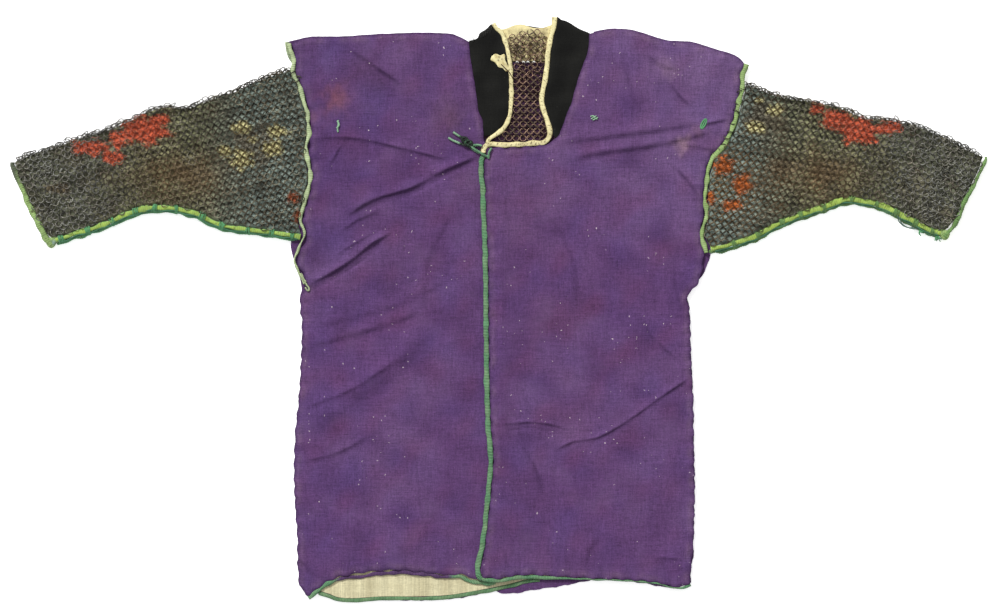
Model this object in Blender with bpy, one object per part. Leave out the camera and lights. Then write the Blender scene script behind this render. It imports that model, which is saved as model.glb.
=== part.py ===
"""A mail jacket laid flat with its fronts closed and its sleeves spread.

Its origin is on the surface it lies on, in the middle of its outline. X runs along the sleeves, Y runs
from the hem to the collar, and Z is up. Right and left are the wearer's, so the right sleeve is at -X.
Every table is in millimetres.
"""
import math

import bmesh
import bpy

MM = 0.001

# Thicknesses and heights
GAP = 0.3
BODY_WALL = 3.0
LINING_WALL = 1.0
COLLAR_WALL = 2.0
COLLAR_BACK_WALL = 1.5
FACING_WALL = 1.2
MAIL_WALL = 3.4
SLEEVE_MIDDLE = 4.9
MAIL_INNER_HALF = 1.5
CLOTH_OUTER_HALF = 1.2
CLOTH_INNER_HALF = 0.2
CUFF_OUTER_HALF = 3.4
RING_OVERHANG = 3.0
CLOTH_LIFT = 0.7
BACK_TOP = BODY_WALL + GAP
FRONT_REST = BACK_TOP + LINING_WALL + GAP
LAP_RISE = BODY_WALL + GAP
EDGE_DROP = FRONT_REST - BACK_TOP
UNDERARM_FRONT_LOW = SLEEVE_MIDDLE + CLOTH_INNER_HALF
ARMHOLE_LIFT = 0.5
SEAM_HALF = GAP / 2

# Widths and thicknesses of the bindings
ARMHOLE_BINDING = (5.8, 3.6)
ARMHOLE_BACK_BINDING = (4.4, 3.0)
COLLAR_BINDING_FLAT = (5.8, 3.0)
COLLAR_BINDING_LAP = (6.4, 3.4)
EDGE_BINDING = (5.8, 3.2)
HEM_BINDING = (4.6, 2.6)
HEM_BACK_BINDING = (5.0, 1.0)
UNDERARM_BINDING = (5.6, 3.2)
UNDERARM_BACK_BINDING = (4.4, 4.2)
UNDERARM_BACK_STEP = 4.4
CUFF_BINDING_WIDTH = 5.6
BINDING_SHOULDER = 0.6

# The lap of the left front over the right one
LAP_EDGE_X = 11.0
LAP_RAMP = 30.0

# Where the fronts come down to the back at the side seams and shoulders
SIDE_DROP_X = 228.0
SIDE_DROP_RUN = 14.0
SIDE_DROP_TOP_Y = 32.0
SHOULDER_DROP_Y = 318.0
SHOULDER_DROP_RUN = 16.0

# Middle lines of the bindings, each row x, y
ARMHOLE_FRONT_RIGHT = [
    (-261, 332), (-256, 309), (-256, 296), (-248, 277), (-242, 259), (-237, 230), (-239, 196),
    (-235, 165), (-240, 139), (-247, 110), (-242, 91), (-250, 74), (-255, 61), (-250, 49),
    (-242, 31),
]
ARMHOLE_BACK_RIGHT = [
    (-264, 334), (-261, 317), (-254, 303), (-252, 280), (-248, 236), (-247, 199), (-247, 161),
    (-251, 130), (-262, 89),
]
ARMHOLE_FRONT_LEFT = [
    (311, 306), (306, 291), (306, 279), (301, 257), (293, 224), (282, 204), (268, 187),
    (260, 152), (260, 120), (256, 91), (260, 70),
]
ARMHOLE_BACK_LEFT = [
    (311, 303), (306, 291), (303, 280), (298, 235), (283, 193), (272, 160), (271, 120),
    (268, 95), (269, 78),
]
COLLAR_BINDING_RIGHT = [
    (-6, 357), (-2, 351), (4, 346), (9, 335), (12, 324), (15, 309), (16, 292), (16, 271),
    (16, 251), (12, 235), (6, 225), (-1, 219), (-12, 211),
]
COLLAR_BINDING_LEFT = [
    (71, 365), (70, 355), (67, 344), (64, 330), (62, 315), (61, 300), (59, 286), (55, 269),
    (55, 257), (58, 245), (62, 234), (65, 222), (63, 213), (56, 208), (42, 207), (27, 206),
    (8, 205), (-12, 205), (-17, 201), (-18, 195),
]
# The row of the left collar binding where it turns from the neck into the lapel
LAPEL_ROW = 12
FRONT_EDGE = [
    (-19, 190), (-19, 147), (-16, 67), (-15, 2), (-14, -80), (-12, -149), (-9, -185),
    (-13, -238), (-19, -292), (-24, -334),
]
HEM_FRONT_RIGHT = [
    (-237, -361), (-224, -352), (-210, -342), (-180, -334), (-152, -330), (-122, -329),
    (-92, -332), (-59, -335), (-46, -334), (-34, -339), (-19, -342), (-3, -342),
]
HEM_FRONT_LEFT = [
    (-20, -337), (0, -340), (14, -337), (35, -335), (75, -337), (115, -339), (162, -341),
    (201, -345), (216, -349), (231, -350), (241, -345),
]
HEM_BACK = [
    (-224, -355), (-211, -359), (-201, -363), (-142, -362), (-96, -362), (-59, -360),
    (-34, -356), (-12, -352), (16, -346), (35, -341), (52, -339),
]
UNDERARM_RIGHT = [
    (-553, 86), (-534, 92), (-495, 105), (-454, 122), (-437, 126), (-407, 126), (-377, 119),
    (-349, 106), (-325, 101), (-266, 94), (-247, 90),
]
UNDERARM_LEFT = [
    (553, 94), (540, 99), (501, 119), (481, 129), (461, 134), (437, 137), (401, 125),
    (361, 111), (314, 88), (281, 78), (266, 75),
]

# Seams between the collar bands and the fronts, from the lapel up, each row x, y
COLLAR_SEAM_RIGHT = [(-18, 217), (-19, 235), (-24, 247), (-27, 269), (-31, 294), (-35, 319), (-36, 334)]
COLLAR_SEAM_LEFT = [
    (73, 214), (80, 227), (85, 242), (91, 256), (96, 274), (101, 291), (106, 305), (112, 322),
    (114, 344),
]

# Outer edges, from the hem up, each row x, y
SIDE_RIGHT = [
    (-247, -348), (-250, -326), (-251, -282), (-254, -239), (-255, -195), (-253, -151),
    (-249, -110), (-246, -60), (-245, -20), (-247, 14),
]
SIDE_LEFT = [(241, -326), (244, -295), (246, -232), (245, -176), (244, -114), (241, -51), (239, 2)]
UNDER_SLEEVE_LEFT = [(237, 15), (250, 32), (255, 52)]
BACK_UNDER_SLEEVE_RIGHT = [(-246, 32), (-251, 46), (-256, 62), (-259, 80)]
BACK_UNDER_SLEEVE_LEFT = [(237, 17), (247, 30), (256, 43), (263, 58)]

# Edge of the right front under the lap, from the hem up, each row x, y
LAP_UNDER_EDGE = [(0, -336), (5, -314), (7, -239), (7, -114), (6, 11), (6, 136), (5, 189), (-14, 203)]

# Shoulder lines from the right arm to the left, each row x, y
SHOULDER_RIGHT = [(-237, 340), (-192, 341), (-147, 344), (-72, 345), (-52, 342)]
SHOULDER_LEFT = [
    (137, 350), (167, 349), (212, 336), (242, 334), (272, 325), (300, 315),
]
BACK_NECK = [(-27, 309), (40, 308), (107, 309), (120, 347)]

# Lower edge of the back from right to left, each row x, y
BACK_FOOT = [
    (-237, -362), (-222, -359), (-207, -364), (-192, -365), (-57, -365), (-27, -360),
    (-12, -355), (17, -356), (47, -351), (77, -347), (122, -339), (182, -343), (212, -348),
    (242, -342),
]

# Ends of the collar bands from the seam to the binding, each row x, y
COLLAR_TOP_RIGHT = [(-25, 338), (-22, 344), (-14, 349)]
COLLAR_TOP_LEFT = [(78, 361), (85, 359), (100, 350)]

# Back collar and its leather facing, each row x, y from the right shoulder to the left
COLLAR_BACK_FOOT = [(-22, 309.3), (10, 309.3), (42, 309.3), (73, 309.3), (104, 309.3)]
COLLAR_BACK_HEAD = [(-13, 346), (5, 351), (26, 358), (56, 355), (84, 358)]
FACING_FOOT = [(-8, 310), (10, 310), (30, 310), (50, 310), (78, 310)]
FACING_HEAD = [(-6, 350), (7, 350), (26, 356), (50, 351), (70, 356)]

# Lining, each row x, y
LINING_LEFT_SIDE = [(213, -331), (214, -200), (213, 0), (210, 190)]
LINING_RIGHT_SIDE = [(-222, -345), (-216, -300), (-216, 0), (-212, 190)]
LINING_FOOT_END = [(120, -334)]

# Mail that shows in the neck: its lower corners, its lower edge and its top, each row x, y
NECK_MAIL_CORNERS = [(-3, 212), (55, 213)]
NECK_MAIL_FOOT = [(15, 210), (38, 211)]
NECK_MAIL_HEAD = [(30, 356)]

# Fold line along the top of each sleeve, from the cuff to the armhole, each row x, y
SLEEVE_TOP_RIGHT = [
    (-602, 181), (-582, 190), (-552, 199), (-522, 211), (-492, 219), (-462, 231), (-432, 245),
    (-417, 249), (-387, 248), (-357, 259), (-327, 269), (-297, 283),
]
SLEEVE_TOP_LEFT = [
    (604, 188), (587, 195), (572, 203), (542, 218), (512, 228), (482, 234), (452, 236),
    (437, 244), (422, 249), (392, 256), (362, 260), (332, 268),
]
# Cuff edges from the fold to the underarm, each row x, y
CUFF_RIGHT = [(-610, 179), (-605, 167), (-589, 130), (-571, 94), (-561, 78)]
CUFF_LEFT = [(612, 186), (604, 167), (590, 141), (575, 108), (561, 88)]

# The armhole rows that carry the sleeve, and the last row of the underarm that the back layer reaches
SLEEVE_ROWS = (2, 11)
SLEEVE_BACK_ROWS = (2, 9)
SLEEVE_ROWS_LEFT = (2, 11)
SLEEVE_BACK_ROWS_LEFT = (2, 9)
FOLD_ANGLES = (55, 0, -55)

# Largest folds, each row x and y at one end, x and y at the other, half width, height
FOLDS = [
    (-236, 30, -140, 94, 11, 3.6),
    (-25, 192, -185, 118, 14, 2.6),
    (-85, -26, -244, -156, 30, 3.2),
    (-234, 214, -65, 188, 10, 1.8),
    (261, 221, 94, 188, 18, 2.8),
    (79, -172, 234, -91, 14, 3.0),
    (178, -10, 226, -61, 11, 1.8),
    (19, -165, 54, -245, 14, 2.2),
    (-120, -330, -128, -250, 26, 2.4),
    (-200, -340, -190, -262, 20, 2.0),
    (-500, 150, -400, 190, 24, 2.4),
    (-360, 130, -280, 190, 22, 2.2),
    (480, 160, 400, 200, 28, 2.0),
    (350, 140, 290, 200, 22, 2.2),
]

# Tie cords, each row x, y from the front edge to the free end
CORD_RADIUS = 1.3
CORD_SIDES = 2
CORD_STEP = 3.0
TIE_UPPER = [(-22.6, 205), (-31, 204.5), (-36, 209), (-40, 214), (-46, 215), (-53, 219), (-56, 221)]
TIE_LOWER = [(-23.6, 195), (-29, 198), (-35, 202), (-42, 205), (-50, 208), (-57, 211), (-62, 214)]

# Colours, each row red, green, blue, roughness, metallic
FINISHES = {
    "purple_cloth": (0.11, 0.06, 0.14, 0.9, 0.0),
    "black_cloth": (0.018, 0.018, 0.016, 0.9, 0.0),
    "lining_cloth": (0.67, 0.61, 0.38, 0.9, 0.0),
    "leather": (0.50, 0.42, 0.28, 0.7, 0.0),
    "cream_binding": (0.82, 0.76, 0.50, 0.8, 0.0),
    "green_binding": (0.17, 0.35, 0.19, 0.9, 0.0),
    "lime_binding": (0.32, 0.44, 0.18, 0.9, 0.0),
    "printed_cloth": (0.10, 0.11, 0.08, 0.9, 0.0),
    "mail": (0.12, 0.11, 0.10, 0.45, 1.0),
    "cord": (0.10, 0.16, 0.11, 0.9, 0.0),
}


def smooth(value):
    """0 below 0, 1 above 1 and a soft rise between them."""
    value = min(max(value, 0.0), 1.0)
    return value * value * (3.0 - 2.0 * value)


def direction(start, end):
    length = math.dist(start, end)
    return (end[0] - start[0]) / length, (end[1] - start[1]) / length


def beside(path, offset):
    """The line at that distance to the left of the path, which stays parallel to it at its corners."""
    moved = []
    for index, point in enumerate(path):
        before = direction(path[max(index - 1, 0)], path[max(index, 1)])
        last = len(path) - 1
        after = direction(path[min(index, last - 1)], path[min(index + 1, last)])
        across = (-before[1] - after[1], before[0] + after[0])
        scale = 2.0 / (across[0] ** 2 + across[1] ** 2)
        moved.append((point[0] + across[0] * scale * offset, point[1] + across[1] * scale * offset))
    return moved


def filled(points, count):
    """The same line with more points, each put in the middle of the longest stretch."""
    points = list(points)
    while len(points) < count:
        spans = [math.dist(a, b) for a, b in zip(points, points[1:])]
        longest = spans.index(max(spans))
        a, b = points[longest], points[longest + 1]
        points.insert(longest + 1, ((a[0] + b[0]) / 2, (a[1] + b[1]) / 2))
    return points


def patch(right, left, foot, head):
    """A grid of points that fills four edges: rows run from the right edge to the left one."""
    rows = max(len(right), len(left))
    columns = max(len(foot), len(head))
    right, left = filled(right, rows), filled(left, rows)
    foot, head = filled(foot, columns), filled(head, columns)
    grid = []
    for i in range(rows):
        up = i / (rows - 1)
        line = []
        for j in range(columns):
            over = j / (columns - 1)
            point = []
            for k in range(2):
                side = right[i][k] * (1 - over) + left[i][k] * over
                bow_foot = foot[j][k] - right[0][k] * (1 - over) - left[0][k] * over
                bow_head = head[j][k] - right[-1][k] * (1 - over) - left[-1][k] * over
                point.append(side + bow_foot * (1 - up) + bow_head * up)
            line.append(tuple(point))
        grid.append(line)
    return grid


def framed(right, left, foot, head):
    """A patch whose foot and head take their ends from the side edges."""
    return patch(right, left, [right[0], *foot, left[0]], [right[-1], *head, left[-1]])


def fold_height(x, y):
    """How far the folds lift the cloth at a point."""
    lift = 0.0
    for x0, y0, x1, y1, half_width, height in FOLDS:
        length = math.dist((x0, y0), (x1, y1))
        ux, uy = direction((x0, y0), (x1, y1))
        along = (x - x0) * ux + (y - y0) * uy
        away = abs((y - y0) * ux - (x - x0) * uy)
        ends = smooth(along / (0.3 * length)) * smooth((length - along) / (0.3 * length))
        lift = max(lift, height * ends * (1.0 - smooth(away / half_width)))
    return lift


def right_low(x, y):
    """Underside of the right front and of what is sewn to it."""
    side = smooth((abs(x) - SIDE_DROP_X) / SIDE_DROP_RUN) * smooth((SIDE_DROP_TOP_Y - y) / SIDE_DROP_RUN)
    shoulder = smooth((y - SHOULDER_DROP_Y) / SHOULDER_DROP_RUN)
    return FRONT_REST - EDGE_DROP * max(side, shoulder) + fold_height(x, y)


def left_low(x, y):
    """Underside of the left front, which laps over the right one."""
    return right_low(x, y) + LAP_RISE * (1.0 - smooth((x - LAP_EDGE_X) / LAP_RAMP))


def armhole_low(x, y):
    """Underside of the armhole bindings, which clear the lower layer of the sleeve."""
    return right_low(x, y) + ARMHOLE_LIFT


def flat(height):
    return lambda x, y: height


def material(name):
    found = bpy.data.materials.get(name)
    if found is not None:
        return found
    made = bpy.data.materials.new(name)
    made.use_nodes = True
    red, green, blue, roughness, metallic = FINISHES[name]
    shader = made.node_tree.nodes["Principled BSDF"]
    shader.inputs["Base Color"].default_value = (red, green, blue, 1.0)
    shader.inputs["Roughness"].default_value = roughness
    shader.inputs["Metallic"].default_value = metallic
    made.diffuse_color = (red, green, blue, 1.0)
    return made


def wall(name, finish, upper, lower):
    """A closed wall between two grids of points that have the same rows and columns."""
    mesh = bmesh.new()
    faces = []
    for grid in (upper, lower):
        faces.append([[mesh.verts.new([c * MM for c in point]) for point in row] for row in grid])
    top, under = faces
    rows, columns = len(top), len(top[0])
    for i in range(rows - 1):
        for j in range(columns - 1):
            mesh.faces.new((top[i][j], top[i][j + 1], top[i + 1][j + 1], top[i + 1][j]))
            mesh.faces.new((under[i][j], under[i + 1][j], under[i + 1][j + 1], under[i][j + 1]))
        for j in (0, columns - 1):
            mesh.faces.new((top[i][j], top[i + 1][j], under[i + 1][j], under[i][j]))
    for j in range(columns - 1):
        for i in (0, rows - 1):
            mesh.faces.new((top[i][j], top[i][j + 1], under[i][j + 1], under[i][j]))
    bmesh.ops.triangulate(mesh, faces=mesh.faces[:])
    bmesh.ops.recalc_face_normals(mesh, faces=mesh.faces[:])
    data = bpy.data.meshes.new(name)
    mesh.to_mesh(data)
    mesh.free()
    if sum(p.center.dot(p.normal) * p.area for p in data.polygons) < 0:
        data.flip_normals()
    data.shade_smooth()
    data.set_sharp_from_angle(angle=math.radians(40))
    data.materials.append(material(finish))
    piece = bpy.data.objects.new(name, data)
    bpy.context.scene.collection.objects.link(piece)
    return piece


def panel(name, finish, grid, low, thickness):
    """A sheet of one thickness whose underside follows a height."""
    lower = [[(x, y, low(x, y)) for x, y in row] for row in grid]
    upper = [[(x, y, z + thickness) for x, y, z in row] for row in lower]
    return wall(name, finish, upper, lower)


def ribbon(name, finish, path, size, low):
    """A binding along a line, with a rounded top."""
    width, thickness = size
    lines = [beside(path, width * side) for side in (-0.5, 0.0, 0.5)]
    crown = (BINDING_SHOULDER * thickness, thickness, BINDING_SHOULDER * thickness)
    lower, upper = [], []
    for points in zip(*lines):
        heights = [low(x, y) for x, y in points]
        lower.append([(x, y, z) for (x, y), z in zip(points, heights)])
        upper.append([(x, y, z + rise) for (x, y), z, rise in zip(points, heights, crown)])
    return wall(name, finish, upper, lower)


def folded(name, finish, front, back, outer_half, inner_half, share):
    """A wall folded along its first column: the front grid above, round the fold, the back grid below.

    The front takes that share of the height of the folds.
    """
    sides = []
    for half in (outer_half, inner_half):
        rows = []
        for front_row, back_row in zip(front, back):
            line = [
                (x, y, SLEEVE_MIDDLE + half + share * fold_height(x, y)) for x, y in reversed(front_row)
            ]
            x, y = front_row[0]
            for angle in map(math.radians, FOLD_ANGLES):
                line.append((x, y + half * math.cos(angle), SLEEVE_MIDDLE + half * math.sin(angle)))
            line += [(x, y, SLEEVE_MIDDLE - half) for x, y in back_row]
            rows.append(line)
        sides.append(rows)
    return wall(name, finish, *sides)


def cord(name, finish, path, low):
    """A round cord that lies along a line."""
    points = [(x, y, low(x, y) + CORD_RADIUS + GAP) for x, y in path]
    smooth_points = []
    for i in range(len(points) - 1):
        steps = max(1, round(math.dist(points[i], points[i + 1]) / CORD_STEP))
        a, b, c, d = (points[min(max(k, 0), len(points) - 1)] for k in (i - 1, i, i + 1, i + 2))
        for step in range(steps):
            t = step / steps
            weights = (
                -0.5 * t + t ** 2 - 0.5 * t ** 3,
                1 - 2.5 * t ** 2 + 1.5 * t ** 3,
                0.5 * t + 2 * t ** 2 - 1.5 * t ** 3,
                -0.5 * t ** 2 + 0.5 * t ** 3,
            )
            smooth_points.append([sum(w * p[k] for w, p in zip(weights, (a, b, c, d))) for k in range(3)])
    smooth_points.append(points[-1])
    curve = bpy.data.curves.new(name, "CURVE")
    curve.dimensions = "3D"
    curve.bevel_depth = CORD_RADIUS * MM
    curve.bevel_resolution = CORD_SIDES
    curve.use_fill_caps = True
    line = curve.splines.new("POLY")
    line.points.add(len(smooth_points) - 1)
    for spot, point in zip(line.points, smooth_points):
        spot.co = (*(c * MM for c in point), 1.0)
    curve.materials.append(material(finish))
    piece = bpy.data.objects.new(name, curve)
    bpy.context.scene.collection.objects.link(piece)
    return piece


def half(size):
    """Distance from a binding's middle line to the edge of the cloth beside it."""
    return size[0] / 2 + GAP


def make_back():
    right = [*SIDE_RIGHT, *BACK_UNDER_SLEEVE_RIGHT]
    right += reversed(beside(ARMHOLE_BACK_RIGHT, half(ARMHOLE_BACK_BINDING)))
    left = [*SIDE_LEFT, *BACK_UNDER_SLEEVE_LEFT]
    left += reversed(beside(ARMHOLE_BACK_LEFT, -half(ARMHOLE_BACK_BINDING)))
    head = [*SHOULDER_RIGHT, *BACK_NECK, *SHOULDER_LEFT]
    panel("back_panel", "purple_cloth", framed(right, left, BACK_FOOT, head), flat(0.0), BODY_WALL)
    for side, path in (("right", ARMHOLE_BACK_RIGHT), ("left", ARMHOLE_BACK_LEFT)):
        ribbon("armhole_binding_back_" + side, "lime_binding", path, ARMHOLE_BACK_BINDING, flat(0.0))
    ribbon("hem_binding_back", "green_binding", HEM_BACK, HEM_BACK_BINDING, flat(BACK_TOP))
    foot = [*beside(HEM_BACK, half(HEM_BACK_BINDING)), *LINING_FOOT_END]
    grid = framed(LINING_RIGHT_SIDE, LINING_LEFT_SIDE, foot, [])
    panel("back_lining", "lining_cloth", grid, flat(BACK_TOP), LINING_WALL)


def make_neck():
    sides = [(COLLAR_BACK_FOOT[k], COLLAR_BACK_HEAD[k]) for k in (0, -1)]
    grid = patch(*sides, COLLAR_BACK_FOOT, COLLAR_BACK_HEAD)
    panel("collar_back", "black_cloth", grid, flat(0.0), COLLAR_BACK_WALL)
    sides = [(FACING_FOOT[k], FACING_HEAD[k]) for k in (0, -1)]
    grid = patch(*sides, FACING_FOOT, FACING_HEAD)
    panel("neck_facing", "leather", grid, flat(COLLAR_BACK_WALL + GAP), FACING_WALL)
    right = [NECK_MAIL_CORNERS[0], *reversed(beside(COLLAR_BINDING_RIGHT, half(COLLAR_BINDING_FLAT))[:-1])]
    left_edge = beside(COLLAR_BINDING_LEFT, -half(COLLAR_BINDING_LAP))
    left = [NECK_MAIL_CORNERS[1], *reversed(left_edge[1:LAPEL_ROW])]
    grid = framed(right, left, NECK_MAIL_FOOT, NECK_MAIL_HEAD)
    panel("back_mail", "mail", grid, flat(BACK_TOP), MAIL_WALL)


def make_collars():
    ribbon("collar_binding_right", "cream_binding", COLLAR_BINDING_RIGHT, COLLAR_BINDING_FLAT, right_low)
    ribbon("collar_binding_left", "cream_binding", COLLAR_BINDING_LEFT, COLLAR_BINDING_LAP, left_low)
    outer = beside(COLLAR_SEAM_RIGHT, -SEAM_HALF)
    inner = list(reversed(beside(COLLAR_BINDING_RIGHT, -half(COLLAR_BINDING_FLAT))[:-1]))
    panel("collar_right", "black_cloth", framed(outer, inner, [], COLLAR_TOP_RIGHT), right_low, COLLAR_WALL)
    inner = list(reversed(beside(COLLAR_BINDING_LEFT, half(COLLAR_BINDING_LAP))[:LAPEL_ROW]))
    outer = beside(COLLAR_SEAM_LEFT, SEAM_HALF)
    panel("collar_left", "black_cloth", framed(inner, outer, [], COLLAR_TOP_LEFT), left_low, COLLAR_WALL)


def make_fronts():
    foot = beside(HEM_FRONT_RIGHT, half(HEM_BINDING))
    armhole = list(reversed(beside(ARMHOLE_FRONT_RIGHT, half(ARMHOLE_BINDING))))
    outer = [foot[0], *SIDE_RIGHT, *armhole]
    inner = [foot[-1], *LAP_UNDER_EDGE, *beside(COLLAR_SEAM_RIGHT, SEAM_HALF)]
    grid = framed(outer, inner, foot[1:-1], SHOULDER_RIGHT)
    panel("front_right", "purple_cloth", grid, right_low, BODY_WALL)

    foot = beside(HEM_FRONT_LEFT, half(HEM_BINDING))
    edge = list(reversed(beside(FRONT_EDGE, half(EDGE_BINDING))))
    lapel = list(reversed(beside(COLLAR_BINDING_LEFT, half(COLLAR_BINDING_LAP))[LAPEL_ROW + 1:]))
    inner = [*edge, *lapel, *beside(COLLAR_SEAM_LEFT, -SEAM_HALF)]
    armhole = list(reversed(beside(ARMHOLE_FRONT_LEFT, -half(ARMHOLE_BINDING))))
    outer = [foot[-1], *SIDE_LEFT, *UNDER_SLEEVE_LEFT, *armhole]
    grid = framed(inner, outer, foot[1:-1], SHOULDER_LEFT)
    panel("front_left", "purple_cloth", grid, left_low, BODY_WALL)

    ribbon("front_edge_binding", "green_binding", FRONT_EDGE, EDGE_BINDING, left_low)
    ribbon("hem_binding_front_right", "green_binding", HEM_FRONT_RIGHT, HEM_BINDING, right_low)
    ribbon("hem_binding_front_left", "green_binding", HEM_FRONT_LEFT, HEM_BINDING, left_low)
    for side, path in (("right", ARMHOLE_FRONT_RIGHT), ("left", ARMHOLE_FRONT_LEFT)):
        ribbon("armhole_binding_front_" + side, "lime_binding", path, ARMHOLE_BINDING, armhole_low)


def make_sleeve(side, top, cuff, underarm, armhole, armhole_back, hand, rows, back_rows):
    """One sleeve: its cloth tube, the mail round it, its cuff binding and the two underarm bindings."""
    inset = hand * half(UNDERARM_BINDING)
    under = beside(underarm, inset)
    arm = beside(armhole, -hand * half(ARMHOLE_BINDING))[slice(*rows)]
    back_path = beside(underarm, -hand * UNDERARM_BACK_STEP)[:-1]
    under_back = beside(back_path, hand * half(UNDERARM_BACK_BINDING))
    arm_back = beside(armhole_back, -hand * half(ARMHOLE_BACK_BINDING))[slice(*back_rows)]
    cuff_line = beside(cuff, hand * (CUFF_BINDING_WIDTH + GAP))
    for name, finish, drop, outer, inner, share in (
        ("sleeve_mail_", "mail", 0.0, SLEEVE_MIDDLE, MAIL_INNER_HALF, 1.0),
        ("sleeve_cloth_", "printed_cloth", RING_OVERHANG, CLOTH_OUTER_HALF, CLOTH_INNER_HALF, CLOTH_LIFT),
    ):
        fold = [(x, y - drop) for x, y in [*top, arm[0]]]
        grids = []
        for lower_edge, inner_end in ((under, arm), (under_back, arm_back)):
            foot = [fold[0], *cuff_line[1:-1], lower_edge[0]]
            head = [fold[-1], *inner_end[1:-1], lower_edge[-1]]
            grids.append(patch(fold, lower_edge, foot, head))
        folded(name + side, finish, *grids, outer, inner, share)
    strip = [cuff, beside(cuff, hand * CUFF_BINDING_WIDTH)]
    folded("cuff_binding_" + side, "lime_binding", strip, strip, CUFF_OUTER_HALF, CLOTH_INNER_HALF, 0.0)
    low = flat(UNDERARM_FRONT_LOW)
    ribbon("underarm_binding_front_" + side, "lime_binding", underarm, UNDERARM_BINDING, low)
    ribbon("underarm_binding_back_" + side, "green_binding", back_path, UNDERARM_BACK_BINDING, flat(0.0))


def make_sleeves():
    make_sleeve(
        "right", SLEEVE_TOP_RIGHT, CUFF_RIGHT, UNDERARM_RIGHT, ARMHOLE_FRONT_RIGHT, ARMHOLE_BACK_RIGHT,
        1, SLEEVE_ROWS, SLEEVE_BACK_ROWS,
    )
    make_sleeve(
        "left", SLEEVE_TOP_LEFT, CUFF_LEFT, UNDERARM_LEFT, ARMHOLE_FRONT_LEFT, ARMHOLE_BACK_LEFT,
        -1, SLEEVE_ROWS_LEFT, SLEEVE_BACK_ROWS_LEFT,
    )


def make_ties():
    def front_top(x, y):
        return right_low(x, y) + BODY_WALL

    cord("tie_cord_upper", "cord", TIE_UPPER, front_top)
    cord("tie_cord_lower", "cord", TIE_LOWER, front_top)


for old in list(bpy.data.objects):
    bpy.data.objects.remove(old, do_unlink=True)
make_back()
make_neck()
make_collars()
make_fronts()
make_sleeves()
make_ties()
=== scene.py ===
import math

import bmesh
import bpy
import numpy as np
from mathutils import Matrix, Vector
from mathutils.bvhtree import BVHTree
from mathutils.geometry import delaunay_2d_cdt


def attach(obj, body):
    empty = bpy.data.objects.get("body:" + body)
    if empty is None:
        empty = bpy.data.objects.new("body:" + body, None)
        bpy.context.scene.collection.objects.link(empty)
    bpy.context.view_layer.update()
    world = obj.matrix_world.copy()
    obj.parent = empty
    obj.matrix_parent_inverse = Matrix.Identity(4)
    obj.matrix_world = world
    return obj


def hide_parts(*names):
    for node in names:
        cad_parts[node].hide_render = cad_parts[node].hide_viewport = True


# The looks of a mail jacket laid flat. Tables and lengths are in millimetres in the frame of the part,
# and a mesh is turned into metres when it is made. Right and left are the wearer's.

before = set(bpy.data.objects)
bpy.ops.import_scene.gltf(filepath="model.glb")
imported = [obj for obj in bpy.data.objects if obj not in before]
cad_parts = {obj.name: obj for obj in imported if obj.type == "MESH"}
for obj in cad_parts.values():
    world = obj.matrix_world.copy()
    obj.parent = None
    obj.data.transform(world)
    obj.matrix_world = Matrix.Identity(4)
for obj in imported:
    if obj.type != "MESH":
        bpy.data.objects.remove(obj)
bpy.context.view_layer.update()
BODY = "root"
MM = 0.001

# Camera, straight above the jacket
CAMERA_HEIGHT = 10.0
SHOWN_HEIGHT = 0.006
SHOWN_WIDTH = 1.25
CAMERA_PLACE = (0.0025, 0.0025)
SENSOR = 36.0

# Light: how bright a white surface is under all of it, and the share of the soft sky in that
LIGHT_LEVEL = 1.2
SKY_SHARE = 0.48
SUN_FROM = (-0.38, 0.72, 0.60)
SUN_SPREAD = 14.0
FLOOR_SIZE = 80.0
FLOOR_WHITE = 0.95
FLOOR_GLOW = 0.55
FLOOR_DROP = 0.0002

# How finely the cloth is cut up
EDGE_STEP = 2.4
CORNER = 50.0
SETTLE_ROUNDS = 24
EDGE_ROUNDING = 1.1
UNDER_SHARE = 0.5
FACING = 0.15
RIPPLE_WAVES = 9
PUCKER_LENGTH = 19.0

# A wave texture of scale 1 has a band in this many metres
WAVE_SPAN = 0.314
CLOTH_ROUGHNESS = 0.9
TAPE_ROUGHNESS = 0.85
TAPE_DIRT = 0.25


def tone(red, green, blue):
    """The surface colour that shows as this screen colour, each 0 to 255, under the scene's light."""
    linear = []
    for value in (red, green, blue):
        share = value / 255.0
        linear.append(share / 12.92 if share <= 0.04045 else ((share + 0.055) / 1.055) ** 2.4)
    return tuple(value / LIGHT_LEVEL for value in linear)


PURPLE = tone(97, 66, 112)
PURPLE_PALE = tone(122, 95, 137)
PURPLE_DARK = tone(62, 40, 76)
PURPLE_BLUE = tone(84, 68, 128)
PURPLE_ROSY = tone(112, 62, 96)
PURPLE_WORN = tone(150, 122, 140)
LINT = tone(214, 196, 206)
NECK_BROWN = tone(52, 32, 40)
BLACK = tone(25, 25, 24)
BLACK_WORN = tone(50, 50, 47)
LINING = tone(236, 228, 188)
LINING_DARK = tone(178, 166, 128)
LEATHER = tone(242, 228, 170)
LEATHER_STAIN = tone(104, 80, 42)
CREAM = tone(250, 240, 184)
CREAM_DIRT = tone(188, 166, 104)
STITCH_BROWN = tone(78, 50, 34)
EDGE_GREEN = tone(108, 160, 116)
EDGE_GREEN_DARK = tone(62, 108, 76)
BACK_GREEN = tone(104, 150, 104)
LIME = tone(160, 190, 118)
LIME_YELLOW = tone(176, 204, 92)
LIME_PALE = tone(196, 212, 164)
LIME_DARK = tone(96, 124, 62)
CUFF_GREY = tone(92, 100, 80)
TEAL = tone(88, 146, 112)
SEA_GREEN = tone(104, 176, 120)
LEAF_GREEN = tone(118, 158, 92)
THREAD_GREY = tone(104, 132, 120)
# Painted glint white for the pale arcs along the neck leather's lower edge
GLINT_WHITE = tone(246, 246, 240)
PALE_BLUE = tone(150, 176, 176)
CORD_GREEN = tone(96, 150, 108)
CORD_PALE = tone(170, 214, 176)
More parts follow.
